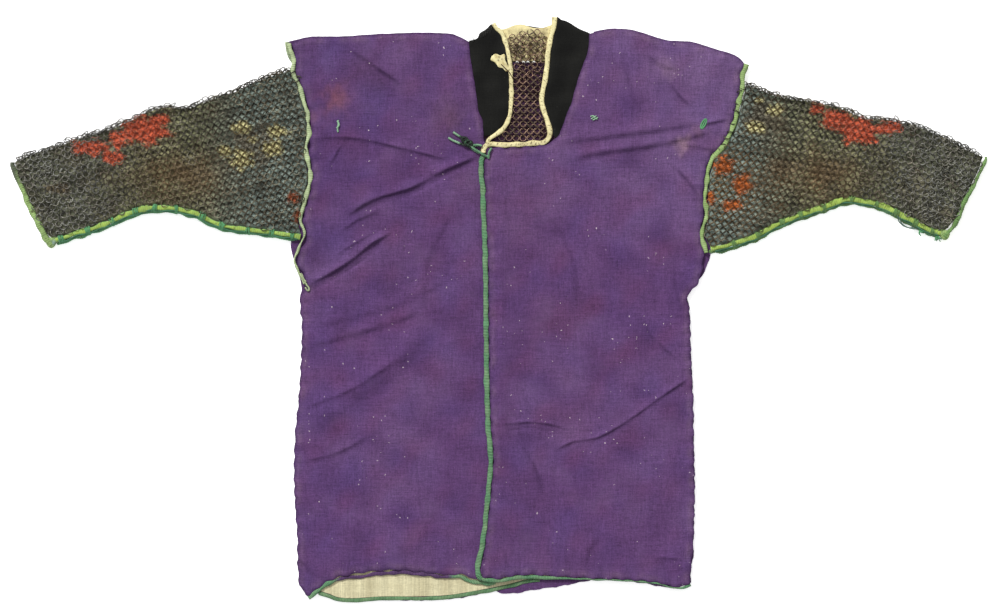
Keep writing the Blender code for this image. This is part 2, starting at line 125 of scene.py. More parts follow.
CORD_DARK = tone(26, 34, 30)
SLEEVE_OLIVE = tone(116, 118, 98)
SLEEVE_GREEN = tone(158, 158, 120)
SLEEVE_BLUE = tone(156, 172, 162)
SLEEVE_BROWN = tone(146, 120, 90)
CLOTH_INKS = {
    "red": tone(246, 118, 84),
    "yellow": tone(255, 246, 180),
    "orange": tone(232, 128, 68),
    "brown": tone(136, 108, 80),
    "rust": tone(178, 96, 66),
}
# Painted reflection of each print colour on the rings that lie over it
RING_PRINT_REFLECTION = {
    "red": tone(176, 78, 56),
    "yellow": tone(100, 84, 42),
    "orange": tone(164, 88, 48),
    "brown": tone(84, 70, 54),
    "rust": tone(122, 72, 48),
}
IRON = tone(58, 56, 48)
IRON_PALE = tone(126, 122, 104)
IRON_GREY = tone(128, 128, 122)
IRON_RUST = tone(128, 100, 66)
NECK_IRON = tone(146, 118, 100)

# Tie cords, from the front edge to the free end, and their diameter
TIE_UPPER = [(-22.6, 205), (-31, 204.5), (-36, 209), (-40, 214), (-46, 215), (-53, 219), (-56, 221)]
TIE_LOWER = [(-23.6, 195), (-29, 198), (-35, 202), (-42, 205), (-50, 208), (-57, 211), (-62, 214)]
TIE_RADIUS = 1.3
TIE_STRANDS = 1.12
TIE_GAP = 0.3
KNOT_RADIUS = 1.25
LACING_RADIUS = 1.5


def unit(vectors):
    """The same directions at length 1."""
    length = np.linalg.norm(vectors, axis=-1, keepdims=True)
    return vectors / np.maximum(length, 1e-9)


def rise(value):
    """0 below 0, 1 above 1 and a soft rise between them."""
    value = np.clip(value, 0.0, 1.0)
    return value * value * (3.0 - 2.0 * value)


def mix(one, other, share):
    """Colours between two others, for one share or many."""
    share = np.asarray(share, float)[..., None]
    return np.asarray(one) * (1.0 - share) + np.asarray(other) * share


def ripple(x, y, seed, length):
    """Even waves that cross in many directions, from -1 to 1 or a little more."""
    draw = np.random.default_rng(seed)
    total = np.zeros(np.shape(x))
    for _ in range(RIPPLE_WAVES):
        angle = draw.uniform(0, 2 * math.pi)
        span = length * draw.uniform(0.6, 1.7)
        phase = draw.uniform(0, 2 * math.pi)
        total = total + np.sin((x * math.cos(angle) + y * math.sin(angle)) * 2 * math.pi / span + phase)
    return total / math.sqrt(RIPPLE_WAVES * 0.5) * 0.6


def flowing(points, step):
    """A smooth line through points, with a point about every step."""
    points = np.asarray(points, float)
    chords = np.diff(points, axis=0)
    lengths = np.linalg.norm(chords, axis=1)
    chords = chords / np.maximum(lengths, 1e-9)[:, None]
    tangents = np.vstack([chords[:1], unit(chords[:-1] + chords[1:]), chords[-1:]])
    line = []
    for index, length in enumerate(lengths):
        count = max(1, round(length / step))
        t = (np.arange(count) / count)[:, None]
        line.append(
            (2 * t**3 - 3 * t**2 + 1) * points[index]
            + (t**3 - 2 * t**2 + t) * length * tangents[index]
            + (3 * t**2 - 2 * t**3) * points[index + 1]
            + (t**3 - t**2) * length * tangents[index + 1]
        )
    return np.vstack([*line, points[-1:]])


def travelled(line):
    """How far along a line each of its points is."""
    return np.concatenate([[0.0], np.cumsum(np.linalg.norm(np.diff(line, axis=0), axis=1))])


def left_of(line):
    """The direction to the left of a line at each of its points."""
    ahead = unit(np.gradient(line, axis=0))
    return np.column_stack([-ahead[:, 1], ahead[:, 0]])


def outward_of(loop):
    """The direction out of an anticlockwise closed line at each of its points."""
    return unit(np.roll(loop, -1, axis=0) - np.roll(loop, 1, axis=0))[:, ::-1] * (1, -1)


def puckers(along):
    """Uneven puckers along a seam, from -1 to 1."""
    return np.sin(along * 2 * math.pi / PUCKER_LENGTH + 1.7 * np.sin(along / 31.0))


def node_faces(node, up):
    """A bmesh of a node's outermost faces that look up (up 1) or down (up -1), in millimetres."""
    mesh = bmesh.new()
    mesh.from_mesh(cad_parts[node].data)
    bmesh.ops.scale(mesh, vec=(1 / MM,) * 3, verts=mesh.verts)
    bmesh.ops.remove_doubles(mesh, verts=mesh.verts, dist=1e-3)
    mesh.normal_update()
    hidden = [face for face in mesh.faces if face.normal.z * up < FACING]
    bmesh.ops.delete(mesh, geom=hidden, context="FACES")
    left, groups = set(mesh.faces), []
    while left:
        group = [left.pop()]
        for face in group:
            for other in {f for edge in face.edges for f in edge.link_faces} & left:
                left.remove(other)
                group.append(other)
        size = sum(face.calc_area() for face in group)
        height = sum(face.calc_area() * face.calc_center_median().z for face in group) / size
        groups.append((size, up * height, group))
    wide = max(size for size, _, _ in groups)
    outer = max((g for g in groups if g[0] > wide / 2), key=lambda g: g[1])[2]
    others = [face for _, _, group in groups for face in group if group is not outer]
    bmesh.ops.delete(mesh, geom=others, context="FACES")
    return mesh


def outline(node, up=1):
    """The edge of what a node shows from above or below, as points in order, anticlockwise."""
    mesh = node_faces(node, up)
    onward = {}
    for face in mesh.faces:
        for corner in face.loops:
            if len(corner.edge.link_faces) == 1:
                onward.setdefault(corner.vert, []).append(corner.link_loop_next.vert)
    loops = []
    while any(onward.values()):
        here = next(vert for vert, others in onward.items() if others)
        loop = []
        while onward.get(here):
            loop.append(here.co.xy.copy())
            here = onward[here].pop()
        loops.append(np.array(loop))
    mesh.free()
    loop = max(loops, key=lambda points: abs(signed_area(points)))
    return loop if signed_area(loop) > 0 else loop[::-1]


def signed_area(loop):
    """The area inside a closed line, above 0 when it runs anticlockwise."""
    following = np.roll(loop, -1, axis=0)
    return np.sum(loop[:, 0] * following[:, 1] - loop[:, 1] * following[:, 0]) / 2


def turns(loop):
    """How sharply a closed line turns at each point, in degrees."""
    before = unit(loop - np.roll(loop, 1, axis=0))
    after = unit(np.roll(loop, -1, axis=0) - loop)
    return np.degrees(np.arccos(np.clip(np.sum(before * after, axis=1), -1, 1)))


def softened(loop):
    """The same closed line as smooth stretches between its corners."""
    corners = list(np.nonzero(turns(loop) > CORNER)[0])
    if not corners:
        corners = [0]
    loop = np.roll(loop, -corners[0], axis=0)
    corners = [c - corners[0] for c in corners] + [len(loop)]
    closed = np.vstack([loop, loop[:1]])
    stretches = [flowing(closed[a : b + 1], EDGE_STEP)[:-1] for a, b in zip(corners, corners[1:])]
    return np.vstack(stretches)


def segment_distance(x, y, line, closed=False, sided=False):
    """Distance of points from a line, and how far along the line the nearest place is.

    With sided, the distance is above 0 on the left of the line and below 0 on its right."""
    line = np.asarray(line, float)
    if closed:
        line = np.vstack([line, line[:1]])
    spans = np.diff(line, axis=0)
    lengths = np.maximum(np.linalg.norm(spans, axis=1), 1e-9)
    starts = np.concatenate([[0.0], np.cumsum(lengths)[:-1]])
    best = np.full(np.shape(x), 1e9)
    along = np.zeros(np.shape(x))
    hand = np.ones(np.shape(x))
    for point, span, length, start in zip(line, spans / lengths[:, None], lengths, starts):
        dx, dy = x - point[0], y - point[1]
        t = np.clip(dx * span[0] + dy * span[1], 0, length)
        away = np.hypot(dx - span[0] * t, dy - span[1] * t)
        nearer = away < best
        best = np.where(nearer, away, best)
        along = np.where(nearer, start + t, along)
        hand = np.where(nearer, np.where(span[0] * dy - span[1] * dx < 0, -1.0, 1.0), hand)
    return best * hand if sided else best, along, lengths.sum()


def inside(x, y, loop):
    """Whether points lie within a closed line."""
    crossings = np.zeros(np.shape(x), int)
    for (ax, ay), (bx, by) in zip(loop, np.roll(loop, -1, axis=0)):
        if ay == by:
            continue
        crosses = (ay > y) != (by > y)
        crossings += crosses & (x < (bx - ax) * (y - ay) / (by - ay) + ax)
    return crossings % 2 == 1


def filled(loop, step, lines=()):
    """Points and triangles that fill a closed line: an even grid inside it, and finer rows along lines."""
    low, high = loop.min(0), loop.max(0)
    rows = np.arange(low[1], high[1], step * 0.866)
    columns = np.arange(low[0], high[0] + step, step)
    x, y = np.meshgrid(columns, rows)
    x = (x + (np.arange(len(rows)) % 2)[:, None] * step / 2).ravel()
    y = y.ravel()
    keep = inside(x, y, loop)
    x, y = x[keep], y[keep]
    away = segment_distance(x, y, loop, closed=True)[0]
    keep = away > step * 0.55
    x, y = x[keep], y[keep]
    rows = []
    for line in lines:
        left = left_of(line)
        for side in (-2.6, -1.3, 0.0, 1.3, 2.6):
            row = line + left * side
            row = row[inside(row[:, 0], row[:, 1], loop)]
            clear = segment_distance(row[:, 0], row[:, 1], loop, closed=True)[0] > 1.5
            rows.append(row[clear])
            away = segment_distance(x, y, line)[0]
            x, y = x[away > 3.4], y[away > 3.4]
    points = np.vstack([loop, np.column_stack([x, y]), *rows])
    edges = [(index, (index + 1) % len(loop)) for index in range(len(loop))]
    found = delaunay_2d_cdt([Vector(p) for p in points], edges, [], 1, 1e-4)
    return np.array([v[:] for v in found[0]]), np.array(found[2])


def rim_of(faces):
    """The edges that only one triangle has, as pairs of points in the triangle's order."""
    edges = np.vstack([faces[:, [0, 1]], faces[:, [1, 2]], faces[:, [2, 0]]])
    key = np.sort(edges, axis=1)
    order = np.lexsort((key[:, 1], key[:, 0]))
    key, edges = key[order], edges[order]
    same = (key[1:] == key[:-1]).all(axis=1)
    single = np.ones(len(key), bool)
    single[1:][same] = False
    single[:-1][same] = False
    return edges[single]


def two_layers(x, y, top, low, faces):
    """Points and faces of a closed sheet: its upper and lower heights over one set of triangles."""
    count = len(x)
    rim = rim_of(faces)
    points = np.vstack([np.column_stack([x, y, top]), np.column_stack([x, y, low])])
    sides = np.column_stack([rim[:, 1], rim[:, 0], rim[:, 0] + count, rim[:, 1] + count])
    return points, [*faces.tolist(), *(faces[:, ::-1] + count).tolist(), *sides.tolist()]


def settled(values, faces, rounds):
    """Values at points, smoothed over the triangles."""
    edges = np.vstack([faces[:, [0, 1]], faces[:, [1, 2]], faces[:, [2, 0]]])
    both = np.vstack([edges, edges[:, ::-1]])
    count = np.bincount(both[:, 0], minlength=len(values))
    for _ in range(rounds):
        total = np.bincount(both[:, 0], values[both[:, 1]], minlength=len(values))
        values = total / np.maximum(count, 1)
    return values


class Skin:
    """The upper or lower surface of a CAD node."""

    def __init__(self, node, up=1):
        mesh = node_faces(node, up)
        self.tree = BVHTree.FromBMesh(mesh)
        mesh.free()

    def height(self, x, y, guess=6.0):
        found = []
        for px, py in zip(np.ravel(x), np.ravel(y)):
            near = self.tree.find_nearest((px, py, guess))[0].z
            found.append(self.tree.find_nearest((px, py, near))[0].z)
        return np.array(found).reshape(np.shape(x))


def add_piece(name, points, faces, finish, colours, extra=None):
    """A mesh piece from points in millimetres, riding on the body, with a colour for each point."""
    mesh = bpy.data.meshes.new(name)
    mesh.from_pydata((np.asarray(points) * MM).tolist(), [], [list(f) for f in faces])
    mesh.shade_smooth()
    layer = mesh.color_attributes.new("paint", "FLOAT_COLOR", "POINT")
    full = np.ones((len(points), 4), np.float32)
    full[:, :3] = colours
    layer.data.foreach_set("color", full.ravel())
    for key, values in (extra or {}).items():
        layer = mesh.attributes.new(key, "FLOAT", "POINT")
        layer.data.foreach_set("value", np.asarray(values, np.float32))
    mesh.materials.append(finish)
    piece = bpy.data.objects.new(name, mesh)
    bpy.context.scene.collection.objects.link(piece)
    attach(piece, BODY)
    return piece


def add_node(tree, kind, inputs=None, **settings):
    """A node of a material, with its inputs set or linked."""
    made = tree.nodes.new(kind)
    for key, value in settings.items():
        setattr(made, key, value)
    for key, value in (inputs or {}).items():
        if isinstance(value, bpy.types.NodeSocket):
            tree.links.new(value, made.inputs[key])
        else:
            made.inputs[key].default_value = value
    return made


def noise(tree, place, scale, detail=2.0):
    """Even noise from 0 to 1."""
    inputs = {"Vector": place, "Scale": scale, "Detail": detail}
    return add_node(tree, "ShaderNodeTexNoise", inputs).outputs["Fac"]


def stretched_noise(tree, place, scale, size, detail=3.0):
    """Noise drawn out along an axis. Scale is in waves a metre for each axis."""
    moved = add_node(tree, "ShaderNodeMapping", {"Vector": place, "Scale": scale})
    return noise(tree, moved.outputs[0], size, detail)


def math_node(tree, operation, a, b=0.0):
    """The result of one operation on two values."""
    return add_node(tree, "ShaderNodeMath", {0: a, 1: b}, operation=operation).outputs[0]


def mixed(tree, share, a, b, blend="MIX"):
    """Two colours mixed by a share."""
    inputs = {0: share, 6: a, 7: b}
    return add_node(tree, "ShaderNodeMix", inputs, data_type="RGBA", blend_type=blend).outputs[2]


def between(tree, value, low, high, to_low=0.0, to_high=1.0):
    """A value moved from one range to another."""
    inputs = {"Value": value, "From Min": low, "From Max": high, "To Min": to_low, "To Max": to_high}
    return add_node(tree, "ShaderNodeMapRange", inputs).outputs[0]


def shaded(tree, colour, shade):
    """A colour made darker or paler by a number."""
    shades = add_node(tree, "ShaderNodeCombineColor", {0: shade, 1: shade, 2: shade}).outputs[0]
    return mixed(tree, 1.0, colour, shades, "MULTIPLY")


def new_finish(name, roughness, metallic=0.0, sheen=0.0, specular=0.3):
    """A material, its tree and shader, the painted colour and the place on the piece."""
    made = bpy.data.materials.new(name)
    made.use_nodes = True
    tree = made.node_tree
    shader = tree.nodes["Principled BSDF"]
    shader.inputs["Roughness"].default_value = roughness
    shader.inputs["Metallic"].default_value = metallic
    shader.inputs["Sheen Weight"].default_value = sheen
    shader.inputs["Specular IOR Level"].default_value = specular
    paint = add_node(tree, "ShaderNodeAttribute", attribute_name="paint").outputs["Color"]
    place = add_node(tree, "ShaderNodeTexCoord").outputs["Object"]
    return made, tree, shader, paint, place


def finish_off(tree, shader, colour, height, strength, distance):
    """Gives the shader its colour and a bump."""
    tree.links.new(colour, shader.inputs["Base Color"])
    lift = add_node(tree, "ShaderNodeBump", {"Height": height, "Strength": strength, "Distance": distance})
    tree.links.new(lift.outputs[0], shader.inputs["Normal"])


def linted(tree, place, colour, speck):
    """A colour with bits of lint strewn over it, more of them in some places."""
    bent = add_node(tree, "ShaderNodeTexNoise", {"Vector": place, "Scale": 260.0}).outputs["Color"]
    moved = add_node(tree, "ShaderNodeVectorMath", {0: bent, 1: (0.005, 0.005, 0.0)}, operation="MULTIPLY")
    inputs = {0: place, 1: moved.outputs[0]}
    strewn = add_node(tree, "ShaderNodeVectorMath", inputs, operation="ADD").outputs[0]
    dense = between(tree, noise(tree, place, 17.0, 3.0), 0.42, 0.56, 0.25, 1.0)
    for size, reach, rare, strength in ((95.0, 0.075, 0.66, 0.8), (210.0, 0.15, 0.80, 0.55)):
        dots = add_node(tree, "ShaderNodeTexVoronoi", {"Vector": strewn, "Scale": size})
        near = math_node(tree, "LESS_THAN", dots.outputs["Distance"], reach)
        kind = add_node(tree, "ShaderNodeSeparateColor", {0: dots.outputs["Color"]})
        few = math_node(tree, "GREATER_THAN", math_node(tree, "MULTIPLY", kind.outputs[0], dense), rare)
        share = math_node(tree, "MULTIPLY", math_node(tree, "MULTIPLY", near, few), strength)
        colour = mixed(tree, share, colour, (*speck, 1.0))
    return colour


def woven(name, pitch, streak, bump, speck=None, sheen=0.06, wear_and_top_light=None, stripes=0.0):
    """Plain-weave cloth: crossed threads, uneven threads both ways, lint and faded threads."""
    made, tree, shader, paint, place = new_finish(name, CLOTH_ROUGHNESS, sheen=sheen, specular=0.08)
    across = stretched_noise(tree, place, (1.0, 18.0, 1.0), 42.0, 4.0)
    down = stretched_noise(tree, place, (18.0, 1.0, 1.0), 42.0, 4.0)
    fine_across = stretched_noise(tree, place, (1.0, 9.0, 1.0), 170.0)
    fine_down = stretched_noise(tree, place, (9.0, 1.0, 1.0), 170.0)
    broad = math_node(tree, "MULTIPLY", math_node(tree, "ADD", across, down), 0.75)
    threads = math_node(tree, "ADD", math_node(tree, "ADD", broad, noise(tree, place, 620.0)),
                        math_node(tree, "ADD", fine_across, fine_down))
    colour = shaded(tree, paint, between(tree, threads, 1.72, 2.78, 1.0 - streak, 1.0 + streak))
    if stripes:
        stripe = stretched_noise(tree, place, (60.0, 1.5, 1.0), 9.0)
        colour = shaded(tree, colour, between(tree, stripe, 0.38, 0.62, 1.0 - stripes, 1.0 + stripes * 0.3))
    if wear_and_top_light is not None:
        share = between(tree, noise(tree, place, 26.0, 5.0), 0.54, 0.74, 0.0, 0.24)
        colour = mixed(tree, share, colour, (*wear_and_top_light, 1.0))
    if speck is not None:
        colour = linted(tree, place, colour, speck)
    inputs = {"Vector": place, "Scale": WAVE_SPAN / pitch, "Distortion": 0.6, "Detail": 1.0}
    warp, weft = (
        add_node(tree, "ShaderNodeTexWave", inputs, bands_direction=way).outputs["Fac"] for way in ("X", "Y")
    )
    cloth = math_node(tree, "MULTIPLY", warp, weft)
    height = math_node(tree, "ADD", math_node(tree, "MULTIPLY", cloth, 0.5), threads)
    finish_off(tree, shader, colour, height, bump, 0.0004)
    return made


def tape_finish(name, pitch, bump, stripe):
    """Binding tape: fine threads across it, painted shade in the grooves between them, and handled patches.
    """
    made, tree, shader, paint, place = new_finish(name, TAPE_ROUGHNESS, sheen=0.1)
    patches = noise(tree, place, 90.0, 4.0)
    colour = shaded(tree, paint, between(tree, patches, 0.3, 0.7, 1.0 - TAPE_DIRT, 1.0 + TAPE_DIRT * 0.5))
    along = add_node(tree, "ShaderNodeAttribute", attribute_name="along").outputs["Fac"]
    uneven = math_node(tree, "MULTIPLY", patches, 3.0)
    turn = math_node(tree, "MULTIPLY", along, 2 * math.pi / pitch)
    rib = math_node(tree, "SINE", math_node(tree, "ADD", turn, uneven))
    # Painted shade: darker in the grooves between the ribs, by the share stripe.
    colour = shaded(tree, colour, between(tree, rib, -1.0, -0.2, 1.0 - 2 * stripe, 1.0))
    height = math_node(tree, "ADD", rib, noise(tree, place, 700.0))
    finish_off(tree, shader, colour, height, bump, 0.0003)
    return made


def leather_finish(name, stains=0.6):
    """Thin old leather: pebbled grain, cracks and brown stains."""
    made, tree, shader, paint, place = new_finish(name, 0.7, specular=0.35)
    share = between(tree, noise(tree, place, 60.0, 5.0), 0.50, 0.68, 0.0, stains)
    colour = mixed(tree, share, paint, (*LEATHER_STAIN, 1.0))
    cells = add_node(tree, "ShaderNodeTexVoronoi", {"Vector": place, "Scale": 520.0})
    finish_off(tree, shader, colour, cells.outputs["Distance"], 0.4, 0.0004)
    return made


def iron_finish(name):
    """Dark oxidised iron: dull brown and blue-grey patches, on a painted colour whose lighter ring tops are
    painted highlight.
    """
    made, tree, shader, paint, place = new_finish(name, 0.42, metallic=0.75, specular=0.5)
    blot = noise(tree, place, 420.0, 4.0)
    colour = shaded(tree, paint, between(tree, blot, 0.3, 0.7, 0.62, 1.35))
    tree.links.new(between(tree, blot, 0.35, 0.65, 0.32, 0.62), shader.inputs["Roughness"])
    finish_off(tree, shader, colour, blot, 0.35, 0.0002)
    return made


def make_camera():
    """The photo's view, from straight above."""
    data = bpy.data.cameras.new("camera")
    data.sensor_width = SENSOR
    data.lens = SENSOR * (CAMERA_HEIGHT - SHOWN_HEIGHT) / SHOWN_WIDTH
    camera = bpy.data.objects.new("camera", data)
    camera.location = (*CAMERA_PLACE, CAMERA_HEIGHT)
    bpy.context.scene.collection.objects.link(camera)
    bpy.context.scene.camera = camera


def make_light():
    """A soft sky and one wide sun."""
    scene = bpy.context.scene
    scene.view_settings.view_transform = "Standard"
    world = bpy.data.worlds.new("sky")
    world.use_nodes = True
    world.node_tree.nodes["Background"].inputs["Strength"].default_value = LIGHT_LEVEL * SKY_SHARE
    world.node_tree.nodes["Background"].inputs["Color"].default_value = (1.0, 1.0, 1.0, 1.0)
    scene.world = world
    towards = Vector(SUN_FROM).normalized()
    sun = bpy.data.lights.new("key", "SUN")
    sun.angle = math.radians(SUN_SPREAD)
    sun.energy = LIGHT_LEVEL * (1 - SKY_SHARE) * math.pi / towards.z
    key = bpy.data.objects.new("key", sun)
    key.rotation_mode = "QUATERNION"
    key.rotation_quaternion = towards.to_track_quat("Z", "Y")
    scene.collection.objects.link(key)


def make_floor():
    """A plain pale floor just below the jacket."""
    half = FLOOR_SIZE / 2
    mesh = bpy.data.meshes.new("floor")
    corners = [(-half, -half), (half, -half), (half, half), (-half, half)]
    mesh.from_pydata([(x, y, -FLOOR_DROP) for x, y in corners], [], [(0, 1, 2, 3)])
    paper = bpy.data.materials.new("paper")
    paper.use_nodes = True
    shader = paper.node_tree.nodes["Principled BSDF"]
    shader.inputs["Base Color"].default_value = (FLOOR_WHITE,) * 3 + (1.0,)
    shader.inputs["Roughness"].default_value = 0.9
    shader.inputs["Specular IOR Level"].default_value = 0.1
    shader.inputs["Emission Color"].default_value = (1.0, 1.0, 1.0, 1.0)
    shader.inputs["Emission Strength"].default_value = FLOOR_GLOW
    mesh.materials.append(paper)
    floor = bpy.data.objects.new("floor", mesh)
    bpy.context.scene.collection.objects.link(floor)


def tubes(paths, radius, sides=8, twist=0.0, strands=0):
    """Points, faces and distances along for round threads that follow paths, closed at their ends."""
    points, faces, along = [], [], []
    for path in paths:
        path = np.asarray(path, float)
        ahead = unit(np.gradient(path, axis=0))
        spans = travelled(path)
        start = len(points)
        side = unit(np.cross(ahead[0], (0.3, 0.2, 0.9)))
        for place, way, distance in zip(path, ahead, spans):
            side = unit(side - way * np.dot(side, way))
            other = np.cross(way, side)
            for k in range(sides):
                angle = 2 * math.pi * k / sides
                reach = radius
                if strands:
                    reach *= 0.9 + 0.16 * math.cos(strands * angle - twist * distance)
                points.append(place + reach * (math.cos(angle) * side + math.sin(angle) * other))
                along.append(distance)
        for ring in range(len(path) - 1):
            a = start + ring * sides
            for k in range(sides):
                n = (k + 1) % sides
                faces.append((a + k, a + n, a + sides + n, a + sides + k))
        faces.append(tuple(start + k for k in reversed(range(sides))))
        last = start + (len(path) - 1) * sides
        faces.append(tuple(last + k for k in range(sides)))
    return np.array(points), faces, np.array(along)


def arc_points(path, step=0.8):
    """A smooth path through a few points."""
    return flowing(np.asarray(path, float), step)


def thread_piece(name, paths, radius, colour, finish, slot, **shape):
    """Threads joined into one piece."""
    points, faces, along = tubes([arc_points(p) for p in paths], radius, **shape)
    colours = np.tile(np.asarray(colour), (len(points), 1))
    return add_piece(name, points, faces, finish, colours, {"along": along})


# Creases and folds

# Each crease: height, half width, then its points. A height below 0 is a trough.
CREASES_RIGHT = [
    (1.6, 4.5, [(-62, 187), (-92, 195), (-122, 202), (-160, 211), (-198, 215), (-238, 213)]),
    (2.5, 6.5, [(-22, 193), (-65, 175), (-112, 151), (-144, 142), (-169, 131), (-190, 116)]),
    (-0.9, 5.0, [(-28, 182), (-66, 165), (-112, 141), (-146, 131), (-174, 118)]),
    (1.3, 5.0, [(-146, 124), (-176, 112), (-202, 94)]),
    (3.0, 6.0, [(-132, 97), (-156, 84), (-176, 68), (-200, 51), (-240, 30)]),
    (-1.0, 4.5, [(-136, 85), (-173, 57), (-199, 40), (-238, 20)]),
    (0.9, 4.5, [(-150, 100), (-182, 81), (-208, 66)]),
    (1.1, 4.0, [(-194, 208), (-202, 196), (-210, 181)]),
    (1.7, 7.0, [(-115, 279), (-150, 303), (-190, 331)]),
    (2.0, 11.0, [(-85, -16), (-124, -58), (-184, -106), (-248, -146)]),
    (-1.0, 12.0, [(-85, -40), (-126, -84), (-184, -134), (-246, -172)]),
    (1.2, 8.0, [(-96, -2), (-160, -24), (-240, -46)]),
    (0.7, 8.0, [(-60, 40), (-120, 10), (-180, -8), (-232, -20)]),
    (1.1, 7.0, [(-126, -62), (-182, -98), (-246, -124)]),
    (0.9, 7.0, [(-150, -150), (-200, -178), (-248, -190)]),
    (-0.9, 14.0, [(-154, -325), (-150, -264), (-158, -214)]),
    (1.0, 12.0, [(-122, -329), (-118, -276)]),
    (-0.8, 13.0, [(-72, -330), (-78, -264), (-71, -226)]),
    (1.0, 12.0, [(-196, -338), (-184, -290), (-176, -240)]),
    (1.2, 7.0, [(-222, -335), (-238, -321), (-250, -306)]),
    (-0.8, 9.0, [(-228, 120), (-222, 60), (-214, 0), (-216, -60)]),
    (0.7, 10.0, [(-140, 300), (-120, 240), (-112, 190)]),
    (0.7, 8.0, [(-60, 120), (-90, 60), (-96, 0)]),
]
CREASES_LEFT = [
    (1.5, 4.5, [(288, 238), (268, 234), (252, 231)]),
    (1.5, 9.0, [(250, 234), (200, 226), (157, 220), (110, 214), (72, 210)]),
    (2.0, 8.0, [(270, 225), (226, 213), (181, 204), (134, 198), (90, 189)]),
    (1.1, 5.0, [(284, 198), (250, 203), (221, 208)]),
    (1.3, 7.0, [(258, 136), (240, 160), (221, 182)]),
    (1.2, 6.0, [(246, 252), (228, 268), (215, 287)]),
    (1.2, 8.0, [(232, 300), (206, 306), (186, 322)]),
    (1.3, 3.4, [(86, -150), (62, -143), (42, -141), (-2, -145)]),
    (-0.8, 4.0, [(4, -153), (42, -149), (80, -156)]),
    (1.5, 3.8, [(242, -84), (201, -111), (174, -131), (146, -149), (122, -161), (94, -165), (68, -178)]),
    (0.8, 5.0, [(230, -66), (201, -41), (174, -6)]),
    (1.0, 8.0, [(19, -165), (42, -196), (54, -245)]),
    (1.0, 5.0, [(232, -311), (212, -311), (196, -309)]),
    (0.6, 3.0, [(9, -326), (8, -200), (8, -60), (8, 60), (8, 180)]),
    (-0.9, 10.0, [(240, 20), (226, 60), (214, 110), (216, 160)]),
    (0.9, 9.0, [(236, -10), (224, 40), (232, 90)]),
    (0.7, 9.0, [(150, 330), (160, 280), (176, 240)]),
    (0.7, 8.0, [(60, 120), (90, 60), (96, 0)]),
    (-0.7, 12.0, [(120, -330), (126, -280), (120, -240)]),
    (0.9, 8.0, [(130, -276), (112, -300), (104, -330)]),
]


CREASES_BACK = [
    (1.9, 7.0, [(30, 190), (80, 168), (140, 142), (196, 120)]),
    (2.2, 7.0, [(132, 97), (168, 78), (202, 50), (246, 26)]),
    (1.7, 6.0, [(-76, 196), (-134, 206), (-190, 212), (-236, 214)]),
    (1.8, 7.0, [(-68, -170), (-122, -158), (-174, -128), (-240, -90)]),
    (1.5, 6.0, [(190, 215), (150, 212), (96, 196)]),
    (1.4, 8.0, [(-146, 120), (-176, 100), (-214, 66)]),
    (1.6, 10.0, [(90, -20), (134, -60), (190, -104), (250, -140)]),
    (1.2, 12.0, [(60, -330), (66, -270), (58, -220)]),
    (1.3, 12.0, [(-130, -335), (-122, -280), (-128, -230)]),
]


def creased(x, y, creases):
    """Height of the creases at points, and how much each point lies in a fold's shadowed foot.

    A crease rises slowly on its right and falls steeply on its left, and fades at its ends."""
    lift, foot = np.zeros(np.shape(x)), np.zeros(np.shape(x))
    for height, half_width, line in creases:
        line = flowing(line, 14.0)
        low, high = line.min(0) - 4 * half_width, line.max(0) + 4 * half_width
        near = (x > low[0]) & (x < high[0]) & (y > low[1]) & (y < high[1])
        away, along, length = segment_distance(x[near], y[near], line, sided=True)
        wander = 1.0 + 0.35 * ripple(x[near], y[near], int(abs(line[0, 0]) + 7), 34.0)
        run = min(28.0, 0.42 * length)
        ends = rise((along + 2.0) / run) * rise((length - along + 2.0) / run) * wander
        steep = np.where(away > 0, 0.34, 1.0) if half_width < 10.0 else 1.0
        lift[near] += height * ends * np.exp(-((away / (half_width * steep)) ** 2))
        if half_width < 9.5 and height > 0:
            at_foot = np.exp(-(((away - 0.42 * half_width) / (0.26 * half_width + 0.6)) ** 2))
            foot[near] = np.maximum(foot[near], min(height / 2.0, 1.0) * ends * at_foot)
    return lift, np.clip(foot, 0, 1)


def crease_lines(creases):
    """The sharper creases as smooth lines, where the cloth is cut up more finely."""
    return [flowing(line, 2.6) for _, half_width, line in creases if half_width < 8.0]


def body_lift(creases, seed):
    """How a panel of the body lies: creases, slow waves and puckers along its seams."""

    def lift(x, y, away, along):
        slow = 0.45 * ripple(x, y, seed, 120.0) + 0.16 * ripple(x, y, seed + 1, 34.0)
        near_edge = np.exp(-away / 13.0)
        pucker = near_edge * 0.75 * puckers(along)
        calm = rise(away / 5.0)
        return creased(x, y, creases)[0] * (0.35 + 0.65 * calm) + slow * calm + pucker

    return lift


